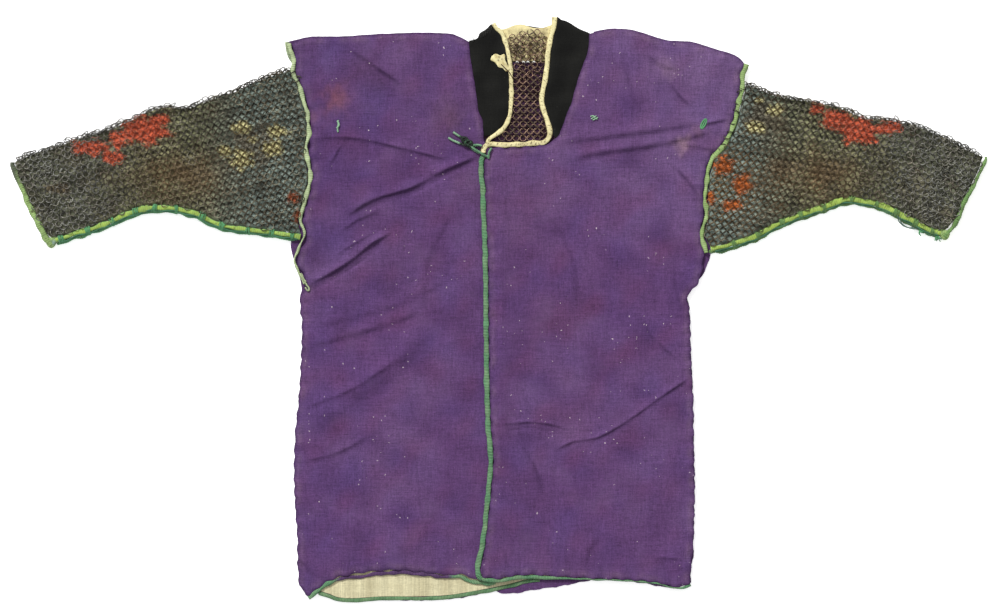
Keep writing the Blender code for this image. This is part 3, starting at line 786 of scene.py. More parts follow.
def shell(name, node, finish, paint, lift, step, wall, crimp=0.0, seed=1, lowest=None, lines=(),
          reshape=None, grow=0.0, under=None):
    """A thin sheet of cloth on the form of a CAD node, cut to the node's outline.

    under is a pair for its hidden side, when that differs: its creases and its paint."""
    loop = softened(outline(node))
    if reshape is not None:
        loop = reshape(loop)
    if grow:
        loop = loop + outward_of(loop) * grow
    if crimp:
        spans = np.linalg.norm(np.roll(loop, -1, axis=0) - loop, axis=1)
        along = np.cumsum(spans) - spans
        sway = puckers(along) + 0.5 * ripple(along, along * 0, seed, 9.0)
        calm = 1.0 - 0.8 * rise((loop[:, 1] - 200) / 40)
        loop = loop + outward_of(loop) * (crimp * sway * calm)[:, None]
    points, faces = filled(loop, step, lines)
    x, y = points[:, 0], points[:, 1]
    away, along, _ = segment_distance(x, y, loop, closed=True)
    base = settled(Skin(node).height(x, y), faces, SETTLE_ROUNDS)
    raised = base + lift(x, y, away, along)
    raised = raised - EDGE_ROUNDING * np.exp(-away / 2.0)
    if lowest is not None:
        raised = np.maximum(raised, lowest + wall)
    lower = raised - wall
    lower = lower + 0.3 * np.exp(-away / 1.2)
    colours = paint(x, y, away)
    hidden = colours
    if under is not None:
        lower = lower + UNDER_SHARE * creased(x, y, under[0])[0]
        hidden = under[1](x, y, away)
    mesh_points, all_faces = two_layers(x, y, raised, lower, faces)
    piece = add_piece(name, mesh_points, all_faces, finish, np.vstack([colours, hidden]))
    piece.data.set_sharp_from_angle(angle=math.radians(60))
    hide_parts(node)
    return piece, loop


def loop_area(loop):
    """The area inside a closed line, in square metres."""
    return abs(signed_area(loop)) * MM * MM


# Colour over the cloth

# Each stain: its middle, radius, colour and strength
STAINS = [
    (-201, 263, 16, tone(128, 78, 90), 0.8),
    (-166, 300, 20, tone(84, 56, 84), 0.35),
    (-150, 284, 14, tone(84, 56, 80), 0.3),
    (-160, 262, 24, tone(96, 80, 134), 0.35),
    (-214, 312, 16, tone(108, 86, 138), 0.45),
    (-120, 318, 14, tone(110, 78, 118), 0.3),
    (231, 205, 9, tone(168, 134, 150), 0.6),
    (252, 224, 9, tone(134, 100, 124), 0.4),
    (-60, 242, 22, tone(104, 76, 92), 0.45),
    (-228, 240, 10, tone(118, 74, 102), 0.4),
    (212, 300, 13, tone(140, 112, 138), 0.45),
    (-36, 160, 18, tone(110, 84, 112), 0.3),
    (30, 120, 40, tone(104, 66, 100), 0.4),
    (76, -10, 34, tone(104, 66, 98), 0.4),
    (170, -250, 24, tone(110, 80, 118), 0.35),
    (100, -150, 30, tone(112, 74, 112), 0.3),
    (-120, 60, 30, tone(112, 78, 110), 0.25),
]


def paint_purple(x, y, away):
    """Faded purple: paler towards the left shoulder, worn at the edges, with old stains, and painted shade
    in the foot of each fold and in a thin line along the edge.
    """
    slow = ripple(x, y, 21, 210.0)
    fine = ripple(x, y, 22, 55.0)
    pale = 0.06 + 0.42 * rise((x + 60) / 260) * rise((y - 20) / 240) + 0.16 * slow + 0.10 * fine
    colour = mix(PURPLE, PURPLE_PALE, np.clip(pale, 0, 1))
    dark = np.clip(0.04 + 0.20 * rise((-x - 40) / 220) * rise((y + 80) / 260) - 0.14 * fine, 0, 1)
    colour = mix(colour, PURPLE_DARK, dark)
    blue = np.clip(0.13 * ripple(x, y, 26, 60.0) + 0.06 + 0.10 * rise((-x - 120) / 100), 0, 0.4)
    colour = mix(colour, PURPLE_BLUE, blue)
    rosy = np.clip(0.16 * ripple(x, y, 27, 50.0), 0, 0.3)
    colour = mix(colour, PURPLE_ROSY, rosy)
    rubbed = 0.22 * np.exp(-(((away - 5.0) / 3.5) ** 2)) * (0.5 + 0.5 * ripple(x, y, 23, 22.0))
    colour = mix(colour, PURPLE_WORN, np.clip(rubbed, 0, 1))
    # Painted shade: darker in the shadowed foot of each fold and in a thin line along the edge.
    foot = creased(x, y, CREASES_RIGHT if x.mean() < 0 else CREASES_LEFT)[1]
    colour = mix(colour, PURPLE_DARK, np.clip(0.75 * foot + 0.7 * np.exp(-away / 1.1), 0, 1))
    for sx, sy, radius, stain, strength in STAINS:
        reach = np.hypot(x - sx, y - sy) + 5 * ripple(x, y, 24, 18.0)
        colour = mix(colour, stain, strength * np.exp(-np.clip(reach, 0, None) ** 2 / radius**2))
    return colour


def paint_under(x, y, away):
    """The outside of the back, which lies on the table, with painted shade in the foot of its folds and
    along its edge.
    """
    colour = mix(PURPLE, PURPLE_PALE, np.clip(0.10 + 0.16 * ripple(x, y, 33, 160.0), 0, 1))
    colour = mix(colour, PURPLE_BLUE, np.clip(0.14 * ripple(x, y, 34, 60.0), 0, 1))
    # Painted shade: darker in the shadowed foot of each fold and in a thin line along the edge.
    foot = creased(x, y, CREASES_BACK)[1]
    return mix(colour, PURPLE_DARK, np.clip(0.7 * foot + 0.7 * np.exp(-away / 1.1), 0, 1))


def paint_back(x, y, away):
    """The back panel's upper side: dark and brownish inside the neck, purple elsewhere."""
    colour = mix(PURPLE, PURPLE_DARK, np.clip(0.12 + 0.1 * ripple(x, y, 31, 60.0), 0, 1))
    neck = rise((x + 24) / 10) * rise((94 - x) / 10) * rise((y - 190) / 10)
    return mix(colour, NECK_BROWN, neck * np.clip(0.85 + 0.2 * ripple(x, y, 32, 30.0), 0, 1))


def paint_black(x, y, away):
    """Black cloth, faded along its edges."""
    faded = np.clip(0.14 + 0.14 * ripple(x, y, 41, 30.0), 0, 1)
    faded = np.clip(faded + 0.35 * np.exp(-away / 2.0) * (0.5 + 0.5 * ripple(x, y, 42, 14.0)), 0, 1)
    return mix(BLACK, BLACK_WORN, faded)


def paint_lining(x, y, away):
    """Undyed cloth with dirt and uneven threads."""
    dirt = np.clip(0.25 + 0.3 * ripple(x * 3, y * 0.5, 51, 70.0), 0, 1)
    threads = np.clip(0.2 + 0.5 * ripple(x, y * 0.05, 52, 5.0), 0, 1)
    return mix(mix(LINING, LINING_DARK, dirt * 0.6), LINING_DARK, threads * 0.35)


def paint_leather(x, y, away):
    """Pale at the torn top, and mottled brown lower down."""
    stain = rise((352 - y) / 36) * 0.55 + 0.60 * ripple(x, y, 61, 5.5) * rise((355 - y) / 9)
    return mix(LEATHER, LEATHER_STAIN, np.clip(stain, 0, 1))


# Printed sleeves: each flower has a middle, a half width and half height, a count of petals and a colour
FLOWERS = [
    (-509, 202, 27, 11, 5, "red"), (-441, 223, 33, 20, 6, "red"), (-482, 189, 16, 10, 4, "red"),
    (-474, 212, 14, 13, 3, "red"), (-421, 237, 14, 8, 3, "red"),
    (-320, 227, 16, 8, 4, "yellow"), (-276, 222, 16, 11, 4, "yellow"),
    (-282, 200, 16, 11, 4, "yellow"), (-320, 187, 16, 15, 5, "yellow"),
    (-341, 198, 11, 9, 3, "yellow"), (-306, 212, 6, 5, 3, "yellow"),
    (-302, 206, 34, 28, 5, "brown"),
    (-255, 138, 10, 9, 4, "rust"), (-250, 115, 6, 10, 3, "rust"),
    (-384, 168, 34, 16, 5, "brown"), (-550, 150, 20, 9, 4, "brown"),
    (322, 227, 15, 8, 4, "yellow"), (346, 248, 12, 10, 3, "yellow"), (328, 261, 6, 4, 3, "yellow"),
    (336, 238, 30, 24, 5, "brown"),
    (281, 179, 15, 13, 5, "orange"), (305, 156, 14, 14, 5, "orange"),
    (293, 130, 14, 9, 4, "orange"), (266, 140, 6, 10, 3, "orange"),
    (424, 236, 24, 14, 5, "red"), (453, 222, 29, 19, 5, "red"), (490, 227, 20, 9, 5, "red"),
    (399, 249, 10, 7, 3, "red"),
    (411, 172, 26, 15, 5, "brown"), (360, 180, 30, 12, 4, "brown"),
]

# Folds of the mail itself, listed as the creases are
MAIL_FOLDS = [
    (1.6, 7.0, [(-245, 281), (-300, 262), (-365, 245)]),
    (1.8, 7.0, [(-245, 241), (-330, 222), (-411, 201)]),
    (1.4, 7.0, [(-305, 195), (-380, 182), (-458, 165)]),
    (1.4, 6.0, [(-265, 171), (-305, 158), (-345, 139)]),
    (1.3, 7.0, [(-470, 182), (-520, 168), (-570, 150)]),
    (1.8, 7.0, [(413, 185), (350, 196), (290, 201)]),
    (1.5, 7.0, [(386, 155), (352, 170), (320, 185)]),
    (1.4, 7.0, [(392, 130), (350, 135), (300, 150)]),
    (1.2, 7.0, [(540, 190), (480, 196), (430, 208)]),
]


def printed(x, y, inks=CLOTH_INKS, ragged=1.0):
    """Share and colour of the print at points: soft blossoms with ragged petals."""
    share = np.zeros(np.shape(x))
    colour = np.zeros((*np.shape(x), 3))
    ragged_edge = ragged * 0.22 * ripple(x, y, 71, 11.0)
    for index, (fx, fy, half_x, half_y, petals, ink) in enumerate(sorted(FLOWERS, key=lambda f: -f[2])):
        across, up = (x - fx) / half_x, (y - fy) / half_y
        angle = np.arctan2(up, across)
        reach = 0.90 + 0.12 * np.cos(petals * angle + index) + ragged_edge
        weight = 0.45 if ink == "brown" else 1.0
        cover = weight * rise((reach - np.hypot(across, up)) / 0.16)
        colour = colour * (1 - cover[..., None]) + np.asarray(inks[ink]) * cover[..., None]
        share = share * (1 - cover) + cover
    return share, colour / np.maximum(share, 1e-6)[..., None]


def sleeve_ground(x, y):
    """Grey-green ground that is olive at the cuffs, brown in the middle and bluish near the body."""
    out = np.abs(x)
    colour = mix(SLEEVE_BLUE, SLEEVE_GREEN, rise((out - 300) / 90))
    colour = mix(colour, SLEEVE_OLIVE, rise((out - 430) / 90))
    brown = np.exp(-(((out - 400) / 70) ** 2) - ((y - 168) / 32) ** 2)
    colour = mix(colour, SLEEVE_BROWN, np.clip(0.5 * brown + 0.12 * ripple(x, y, 72, 60.0), 0, 1))
    return colour * (1.03 + 0.24 * ripple(x, y, 73, 24.0))[..., None]


def paint_print(x, y, away):
    """The print on its ground, darker towards the sleeve's edges and in the mail's own folds."""
    share, colour = printed(x, y)
    folds = np.clip(0.5 * ripple(x + 0.6 * y, 2.2 * y - 0.9 * np.abs(x), 74, 90.0), 0, 1)
    foot = creased(x, y, MAIL_FOLDS)[1]
    shadow = (1.0 - 0.34 * np.exp(-away / 14.0) - 0.28 * folds) * (1.0 - 0.4 * foot)
    ground = sleeve_ground(x, y) * shadow[..., None]
    colour = colour * (0.35 + 0.65 * shadow)[..., None]
    return ground * (1 - share[..., None]) + colour * share[..., None]


# Bindings


def middle_line(node):
    """The middle line of a ribbon-shaped node. Its two ends are the closest pairs of corners."""
    loop = outline(node)
    sharp = [int(i) for i in np.nonzero(turns(loop) > 55)[0]]
    count = len(loop)
    ends = []
    for a, b in zip(sharp, sharp[1:] + [sharp[0] + count]):
        between_points = b - a - 1
        gap = np.linalg.norm(loop[a] - loop[b % count])
        if gap < 9.0 and between_points <= 1:
            ends.append((gap, a, b))
    ends = sorted(sorted(ends)[:2], key=lambda e: e[1])
    (_, a1, b1), (_, a2, b2) = ends
    one = [loop[i % count] for i in range(b1, a2 + 1)]
    other = [loop[i % count] for i in range(b2, a1 + count + 1)][::-1]
    steps = max(len(one), len(other))
    if len(one) == len(other):
        return np.array([(p + q) / 2 for p, q in zip(one, other)])
    lines = []
    for line in (one, other):
        line = np.array(line)
        spans = travelled(line)
        wanted = np.linspace(0, spans[-1], steps)
        lines.append(np.column_stack([np.interp(wanted, spans, line[:, k]) for k in range(2)]))
    return (lines[0] + lines[1]) / 2


TAPE_STEP = 1.1
TAPE_ACROSS = 9


def tape(name, node, finish, width, thickness, paint, seed, ribs=0.0, pitch=2.4, wobble=0.35,
         sway=0.4, step=TAPE_STEP, before=(), after=(), widths=None, aside=0, flat=0.62):
    """A binding folded over an edge: a rounded, uneven tape along the middle of its CAD node.

    before and after lengthen it past its node's ends. widths gives shares of the width along it, and aside
    is the side that a narrower tape keeps to, 1 for its left."""
    line = middle_line(node)
    if line[0, 1] < line[-1, 1]:
        line = line[::-1]
    line = flowing(np.vstack([*[[p] for p in before], line, *[[p] for p in after]]), step)
    spans = travelled(line)
    left = left_of(line)
    shift = sway * ripple(spans, spans * 0, seed, 26.0)
    line = line + left * shift[:, None]
    half = width / 2 * (1 + wobble * 0.35 * ripple(spans, spans * 0, seed + 1, 15.0))
    half = half + ribs * np.sin(spans * 2 * math.pi / pitch)
    if widths is not None:
        shares = np.interp(spans / spans[-1], *zip(*widths))
        line = line + left * (aside * (1 - shares) * width / 2)[:, None]
        half = half * shares
    top = Skin(node).height(line[:, 0], line[:, 1])
    top = np.convolve(np.pad(top, 6, "edge"), np.ones(13) / 13, "valid")
    low = np.maximum(top - thickness, 0.05)
    tall = (top - low) * (1 + 0.10 * ripple(spans, spans * 0, seed + 2, 12.0))
    tall = tall + ribs * 0.7 * np.sin(spans * 2 * math.pi / pitch)
    angles = np.linspace(0, math.pi, TAPE_ACROSS)
    ring = []
    for angle in angles:
        across = math.copysign(abs(math.cos(angle)) ** 0.7, math.cos(angle))
        up = math.sin(angle) ** flat
        lumps = 0.10 * ripple(spans, spans * 0 + across * 9, seed + 3, 7.0)
        ring.append(np.column_stack([
            line[:, 0] + left[:, 0] * half * across,
            line[:, 1] + left[:, 1] * half * across,
            low + tall * up * (0.96 + lumps),
        ]))
    ring = np.stack(ring, axis=1)
    rows, columns = ring.shape[:2]
    faces = []
    for i in range(rows - 1):
        for j in range(columns):
            n = (j + 1) % columns
            faces.append((i * columns + j, (i + 1) * columns + j, (i + 1) * columns + n, i * columns + n))
    faces.append(tuple(range(columns)))
    faces.append(tuple((rows - 1) * columns + j for j in reversed(range(columns))))
    faces = [face[::-1] for face in faces]
    across = np.tile(np.cos(angles), rows)
    along = np.repeat(spans, columns)
    colours = paint(ring.reshape(-1, 3), along, across)
    piece = add_piece(name, ring.reshape(-1, 3), faces, finish, colours, {"along": along})
    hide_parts(node)
    return piece, line, top


def tape_paint(main, dark, pale, seed, shade=0.45, specks=0.0, over=None):
    """Tape colours: worn pale on its crown, mottled, darker along its rounded edges as painted shade, with a
    share of dark stitch holes.

    over gives a colour, and the x from and to which the cloth above covers the tape."""

    def paint(points, along, across):
        edge = np.abs(across) ** 3
        blot = ripple(along, across * 6, seed, 21.0)
        fine = ripple(along, across * 4, seed + 5, 5.0)
        # Painted shade: darker towards the tape's rounded edges by the share shade; mottled darker all over.
        colour = mix(main, dark, np.clip(shade * edge + 0.16 * fine + 0.05, 0, 1))
        colour = mix(colour, pale, np.clip(0.12 * blot + 0.10 * (1 - edge), 0, 1))
        if specks:
            holes = np.random.default_rng(seed + 9).random(len(along)) < specks
            colour = mix(colour, STITCH_BROWN, holes * 0.8)
        if over is not None:
            cover = rise((points[:, 0] - over[1]) / 12) * rise((over[2] - points[:, 0]) / 12)
            colour = mix(colour, over[0], cover)
        return colour

    return paint


# Mail

RING_PITCH = 8.9
RING_RADIUS = 4.1
WIRE_RADIUS = 0.62
NECK_PITCH = 8.8
NECK_RING_RADIUS = 3.9
NECK_WIRE_RADIUS = 0.52
RING_TILT = 19.0
FOLD_REACH = 4.5
SLEEVE_MIDDLE = 4.9


def rings(name, centres, normals, radii, finish, colours, around, section, wire=WIRE_RADIUS):
    """Many rings joined into one piece, painted lighter on their tops and darker on their sides as painted
    light.
    """
    centres, normals = np.asarray(centres), unit(np.asarray(normals))
    first = unit(np.cross(normals, (0.0, 1.0, 0.0)))
    second = np.cross(normals, first)
    a = np.linspace(0, 2 * math.pi, around, endpoint=False)
    b = np.linspace(0, 2 * math.pi, section, endpoint=False)
    radial = first[:, None, :] * np.cos(a)[None, :, None] + second[:, None, :] * np.sin(a)[None, :, None]
    tall = radii * np.sqrt(np.clip(1 - normals[:, 2] ** 2, 0, 1)) + wire + 0.05
    centres = np.column_stack([centres[:, :2], np.maximum(centres[:, 2], tall)])
    core = centres[:, None, :] + radial * radii[:, None, None]
    outward = (
        radial[:, :, None, :] * np.cos(b)[None, None, :, None]
        + normals[:, None, None, :] * np.sin(b)[None, None, :, None]
    )
    points = core[:, :, None, :] + wire * outward
    count = len(centres)
    index = np.arange(count * around * section).reshape(count, around, section)
    quads = np.stack([
        index,
        np.roll(index, -1, axis=1),
        np.roll(np.roll(index, -1, axis=1), -1, axis=2),
        np.roll(index, -1, axis=2),
    ], axis=-1).reshape(-1, 4)
    # Painted light: each wire is lighter where it faces up and darker where it faces sideways.
    wear_and_top_light = 0.40 + 1.5 * np.clip(np.abs(outward[..., 2]), 0, 1).reshape(-1) ** 4
    tint = np.repeat(colours, around * section, axis=0) * wear_and_top_light[:, None]
    return add_piece(name, points.reshape(-1, 3), quads.tolist(), finish, tint)


def lattice(low, high, angle, seed, slack, pitch=RING_PITCH):
    """Ring middles and tilt signs of linked mail: a centred square lattice turned by an angle."""
    draw = np.random.default_rng(seed)
    centre = (low + high) / 2
    reach = np.linalg.norm(high - low) / 2 + pitch
    count = int(reach / pitch) + 1
    i, j = np.meshgrid(np.arange(-count, count + 1), np.arange(-2 * count, 2 * count + 1))
    u = (i + 0.5 * (j % 2)) * pitch
    v = j * pitch / 2
    sign = np.where(j % 2 == 0, 1.0, -1.0).ravel()
    c, s = math.cos(angle), math.sin(angle)
    x = (centre[0] + u * c - v * s).ravel()
    y = (centre[1] + u * s + v * c).ravel()
    loose = slack(x, y)
    x = x + loose * 1.5 * ripple(x, y, seed + 1, 46.0) + draw.normal(0, 0.5, len(x)) * loose
    y = y + loose * 1.5 * ripple(x, y, seed + 2, 46.0) + draw.normal(0, 0.5, len(x)) * loose
    return x, y, sign, loose


def ring_normals(sign, loose, angle, seed):
    """Ring directions: alternate rows lean opposite ways, and slack rings lean at random."""
    draw = np.random.default_rng(seed)
    count = len(sign)
    lean = np.radians(RING_TILT * sign + draw.normal(0, 7, count) * loose)
    stray = np.radians(draw.normal(0, 8, count) * loose)
    ahead = np.array([math.cos(angle), math.sin(angle), 0.0])
    aside = np.array([-math.sin(angle), math.cos(angle), 0.0])
    return (
        np.array([0, 0, 1.0])[None, :] * (np.cos(lean) * np.cos(stray))[:, None]
        + aside[None, :] * np.sin(lean)[:, None]
        + ahead[None, :] * np.sin(stray)[:, None]
    )


def iron_colours(x, y, seed, tinted=0.0):
    """Ring colours: dark brown, greyer at the cuffs, and on the upper rings a painted reflection of the
    print below and painted shade in the mail's folds.
    """
    draw = np.random.default_rng(seed)
    colour = mix(IRON, IRON_PALE, np.clip(draw.normal(0.22, 0.38, len(x)), 0, 1))
    out = np.abs(x)
    grey = rise((out - 420) / 120) * np.clip(draw.normal(0.6, 0.3, len(x)), 0, 1)
    colour = mix(colour, IRON_GREY, grey)
    rusty = 0.6 * np.exp(-(((x - 295) / 45) ** 2) - ((y - 150) / 50) ** 2)
    rusty = rusty + 0.5 * np.exp(-(((out - 400) / 60) ** 2) - ((y - 165) / 30) ** 2)
    colour = mix(colour, IRON_RUST, np.clip(rusty + 0.15 * ripple(x, y, 92, 40.0), 0, 0.7))
    if tinted:
        # Painted reflection of the print below, then painted shade in the foot of the mail's folds.
        share, ink = printed(x, y, RING_PRINT_REFLECTION, 0.3)
        share = share[:, None] * tinted
        colour = colour * (1 - share) + ink * share
        colour = colour * (1.0 - 0.4 * creased(x, y, MAIL_FOLDS)[1])[:, None]
    return colour


def sleeve_slack(x, y):
    """Mail hangs slack at the cuff and lies neatly near the body."""
    return 0.35 + 0.85 * rise((np.abs(x) - 330) / 190)


SLEEVES = {
    "right": {"angle": math.radians(11), "seed": 101},
    "left": {"angle": math.radians(-10), "seed": 201},
}


def make_sleeve_mail(side, finish):
    """The rings of one sleeve: a layer above the cloth, one below it, and rings that turn over the fold."""
    node = "sleeve_mail_" + side
    angle, seed = SLEEVES[side]["angle"], SLEEVES[side]["seed"]
    pieces = []
    for up, around, section in ((1, 12, 6), (-1, 8, 3)):
        loop = softened(outline(node, up))
        x, y, sign, loose = lattice(loop.min(0), loop.max(0), angle, seed + 3 * up, sleeve_slack)
        away = segment_distance(x, y, loop, closed=True)[0]
        keep = inside(x, y, loop) & (away > 1.6)
        x, y, sign, loose = x[keep], y[keep], sign[keep], loose[keep]
        skin = Skin(node, up)
        z = skin.height(x, y, 12.0 if up > 0 else 0.0)
        draw = np.random.default_rng(seed + 7)
        spread = RING_RADIUS * math.sin(math.radians(RING_TILT)) + WIRE_RADIUS
        z = z - up * spread + (draw.normal(0, 0.22, len(x)) * loose if up > 0 else 0.0)
        if up > 0:
            z = z + creased(x, y, MAIL_FOLDS)[0]
        normals = ring_normals(sign, loose if up > 0 else loose * 0.3, angle, seed + 9)
        colours = iron_colours(x, y, seed + 11, 0.7 if up > 0 else 0.0)
        radii = RING_RADIUS * (1 + np.random.default_rng(seed + 12).normal(0, 0.03, len(x)))
        label = "sleeve_rings_" + side + ("" if up > 0 else "_under")
        centres = np.column_stack([x, y, z])
        if up > 0:
            more = fold_rings(side, loop, seed)
            centres = np.vstack([centres, more[0]])
            normals = np.vstack([normals, more[1]])
            radii = np.concatenate([radii, np.full(len(more[0]), RING_RADIUS)])
            turned = iron_colours(more[0][:, 0], more[0][:, 1], seed + 13, 0.5)
            colours = np.vstack([colours, 0.75 * turned])
        piece = rings(label, centres, normals, radii, finish, colours, around, section)
        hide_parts(node)
        pieces.append(piece)
    return pieces


def fold_rings(side, loop, seed):
    """Rings along the top fold of a sleeve, hanging over its edge at all angles."""
    hand = -1 if side == "right" else 1
    low, high = loop.min(0), loop.max(0)
    centres, normals = [], []
    draw = np.random.default_rng(seed + 21)
    ends = (4.0, 10.0) if side == "right" else (10.0, 4.0)
    xs = np.arange(low[0] + ends[0], high[0] - ends[1], RING_PITCH / 2.6)
    upper = [loop[np.abs(loop[:, 0] - x) < 6.0][:, 1].max() for x in xs]
    upper = np.convolve(np.pad(upper, 2, "edge"), np.ones(5) / 5, "valid")
    for index, (x, y) in enumerate(zip(xs, upper)):
        lean = math.radians(draw.uniform(35, 75)) * (1 if index % 2 else -1)
        centres.append((x + draw.normal(0, 0.8), y - 2.4 + draw.normal(0, 1.3), 5.2 + draw.normal(0, 1.0)))
        stray = draw.normal(0, 0.35) + 0.5 * math.sin(lean) * hand
        normals.append((stray, math.sin(lean), abs(math.cos(lean))))
    return np.array(centres), np.array(normals)


def make_sleeve_cloth(side, finish):
    """The printed cloth tube of a sleeve, flat: an upper and a lower layer in one piece."""
    node = "sleeve_cloth_" + side
    points, faces, colours, area = [], [], [], 0.0
    for up in (1, -1):
        loop = softened(outline(node, up))
        outward = outward_of(loop)
        loop = loop + outward * (FOLD_REACH * rise((outward[:, 1] - 0.3) / 0.4))[:, None]
        area += loop_area(loop)
        grid, triangles = filled(loop, 3.0 if up > 0 else 7.0)
        x, y = grid[:, 0], grid[:, 1]
        away = segment_distance(x, y, loop, closed=True)[0]
        base = settled(Skin(node, up).height(x, y, 8.0 if up > 0 else 0.0), triangles, 12)
        edge = np.exp(-away / 1.6)
        raised = base * (1 - edge) + (SLEEVE_MIDDLE + up * 0.25) * edge
        raised = raised + up * 0.25 * ripple(x, y, 81, 30.0) * rise(away / 6.0)
        layer, group = two_layers(x, y, raised, raised - up * 0.8 * (1 - 0.7 * edge), triangles)
        tint = paint_print(x, y, away)
        colours += [tint, tint]
        group = [[corner + len(points) for corner in face] for face in group]
        faces += group if up > 0 else [face[::-1] for face in group]
        points += layer.tolist()
    piece = add_piece("sleeve_cloth_" + side + "_tube", points, faces, finish,
                      np.vstack(colours))
    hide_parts(node)
    return piece, area


def lashings(line, top, seed):
    """Groups of thread turns wound round an underarm binding, and the thread that runs between them."""
    draw = np.random.default_rng(seed)
    spans = travelled(line)
    left = left_of(line)
    left = left * np.sign(left[:, 1:2])

    def at(place, side, lift):
        values = [np.interp(place, spans, v) for v in (line[:, 0], line[:, 1], left[:, 0], left[:, 1], top)]
        return (values[0] + values[2] * side, values[1] + values[3] * side, values[4] + lift)

    wraps, place = [], 9.0
    while place < spans[-1] - 5:
        for turn in range(int(draw.integers(4, 7))):
            here = place + turn * 1.15 + draw.normal(0, 0.3)
            slant = draw.normal(0.0, 1.3)
            wraps.append([
                at(here - slant, 4.3, -2.0),
                at(here - slant * 0.6, 3.3, 0.0),
                at(here, 0.4, 0.75),
                at(here + slant * 0.5, -2.8, 0.1),
                at(here + slant, -4.6, -2.2),
                at(here + slant, -6.6, -4.2),
            ])
        place += draw.uniform(22, 36)
    runs = []
    for side, lift, phase in ((-3.6, -0.9, 0.0), (-4.6, -2.2, 2.0)):
        runs.append([
            at(p, side + 0.6 * math.sin(p / 5.0 + phase), lift + 0.4 * math.sin(p / 3.7))
            for p in np.arange(3.0, spans[-1] - 3.0, 3.0)
        ])
    return wraps, runs


CUFF_CORNER_RADIUS = 3.5


def make_cuff_corner(side, cuff, arm, finish):
    """The rounded corner where the cuff binding and the underarm binding meet."""
    _, i, j = min((np.linalg.norm(cuff[i] - arm[j]), i, j) for i in (0, -1) for j in (0, -1))
    cuff_in = cuff[6] if i == 0 else cuff[-7]
    arm_in = arm[6] if j == 0 else arm[-7]
    corner = (cuff[i] + arm[j]) / 2
    outward = unit(corner * 2 - cuff_in - arm_in)
    outer = [(*cuff_in, 5.0), (*(cuff[i] + outward * 0.2), 4.9), (*(corner + outward * 0.8), 4.8),
             (*(arm[j] + outward * 0.2), 5.0), (*arm_in, 5.4)]
    inner = [(*cuff_in, 4.6), (*(corner - outward * 4.0), 4.6), (*arm_in, 5.0)]
    paths = [arc_points(outer, 0.9), arc_points(inner, 0.9)]
    points, faces, along = tubes(paths, CUFF_CORNER_RADIUS, sides=12)
    points[:, 2] = 4.8 + (points[:, 2] - 4.8) * 0.8
    blue = np.exp(-(np.linalg.norm(points[:, :2] - corner, axis=1) / 3.0) ** 2)
    dirty = mix(LIME, LIME_DARK, np.clip(0.4 * ripple(points[:, 0], points[:, 1], 95, 5.0), 0, 1))
    colours = mix(dirty, PALE_BLUE, blue * (0.8 if side == "right" else 0.0))
    return add_piece("cuff_corner_" + side, points, faces, finish, colours, {"along": along})


# Where the cuff is grey under a thread, from one x to another
CUFF_UNDER = (CUFF_GREY, -624, -594)

# Colour of the lower underarm binding, width of the upper one, and how the lower one goes on to the armhole
UNDERARMS = {
    "right": (SEA_GREEN, 6.2, [(-254, 88)], ()),
    "left": (LEAF_GREEN, 7.2, (), [(270, 72), (261, 72)]),
}


def make_sleeve(side, finishes):
    """One sleeve with all that is sewn to it."""
    seed = SLEEVES[side]["seed"] + 50
    lime = finishes["lime"]
    under, wide, before, after = UNDERARMS[side]
    cuff_width, cuff_colour = (7.2, LIME) if side == "right" else (5.6, LEAF_GREEN)
    cuff, cuff_line, _ = tape(
        "cuff_tape_" + side, "cuff_binding_" + side, lime, cuff_width, 6.4,
        tape_paint(cuff_colour, LIME_DARK, LIME, seed, 0.8, 0.05, over=CUFF_UNDER), seed, ribs=0.2,
        pitch=3.4, wobble=0.8, sway=0.7, widths=[(0, 0.75), (0.2, 0.8), (0.5, 1.0), (1, 1.2)])
    front, line, top = tape(
        "underarm_tape_" + side, "underarm_binding_front_" + side, lime, wide, 3.2,
        tape_paint(LIME_YELLOW, under, LIME, seed + 1, 0.8, 0.03), seed + 1, ribs=0.1, wobble=0.9, sway=0.6)
    back, _, _ = tape(
        "underarm_back_tape_" + side, "underarm_binding_back_" + side, lime, 5.0, 4.2,
        tape_paint(under, TEAL, LIME, seed + 2, 0.7, 0.06), seed + 2, ribs=0.3, pitch=3.1, wobble=1.0,
        sway=0.7, before=before, after=after)
    wraps, runs = lashings(line, top, seed + 3)
    lash = thread_piece("underarm_lashing_" + side, wraps, 0.6, under, finishes["thread"], "green_binding")
    run = thread_piece("underarm_thread_" + side, runs, 0.6, TEAL, finishes["thread"], "green_binding")
    corner = make_cuff_corner(side, cuff_line, line, lime)
    cloth, area = make_sleeve_cloth(side, finishes["print"])
    mail = make_sleeve_mail(side, finishes["iron"])


# Frayed and small things


def cord_colours(points, along):
    """Green braid, pale at its free ends and nearly black round the knot."""
    share = np.clip(0.5 + 0.5 * np.sin(along * 2.6 + np.resize(np.arange(12), len(points))), 0, 1)
    x = points[:, 0]
    colour = mix(CORD_GREEN, CORD_PALE, np.clip(share * 0.5 + rise((-46 - x) / 5) * 0.6, 0, 1))
    dark = rise((x + 49) / 3) * rise((-32 - x) / 3) * 0.9 + 0.2 * (1 - share)
    return mix(colour, CORD_DARK, np.clip(dark, 0, 1))


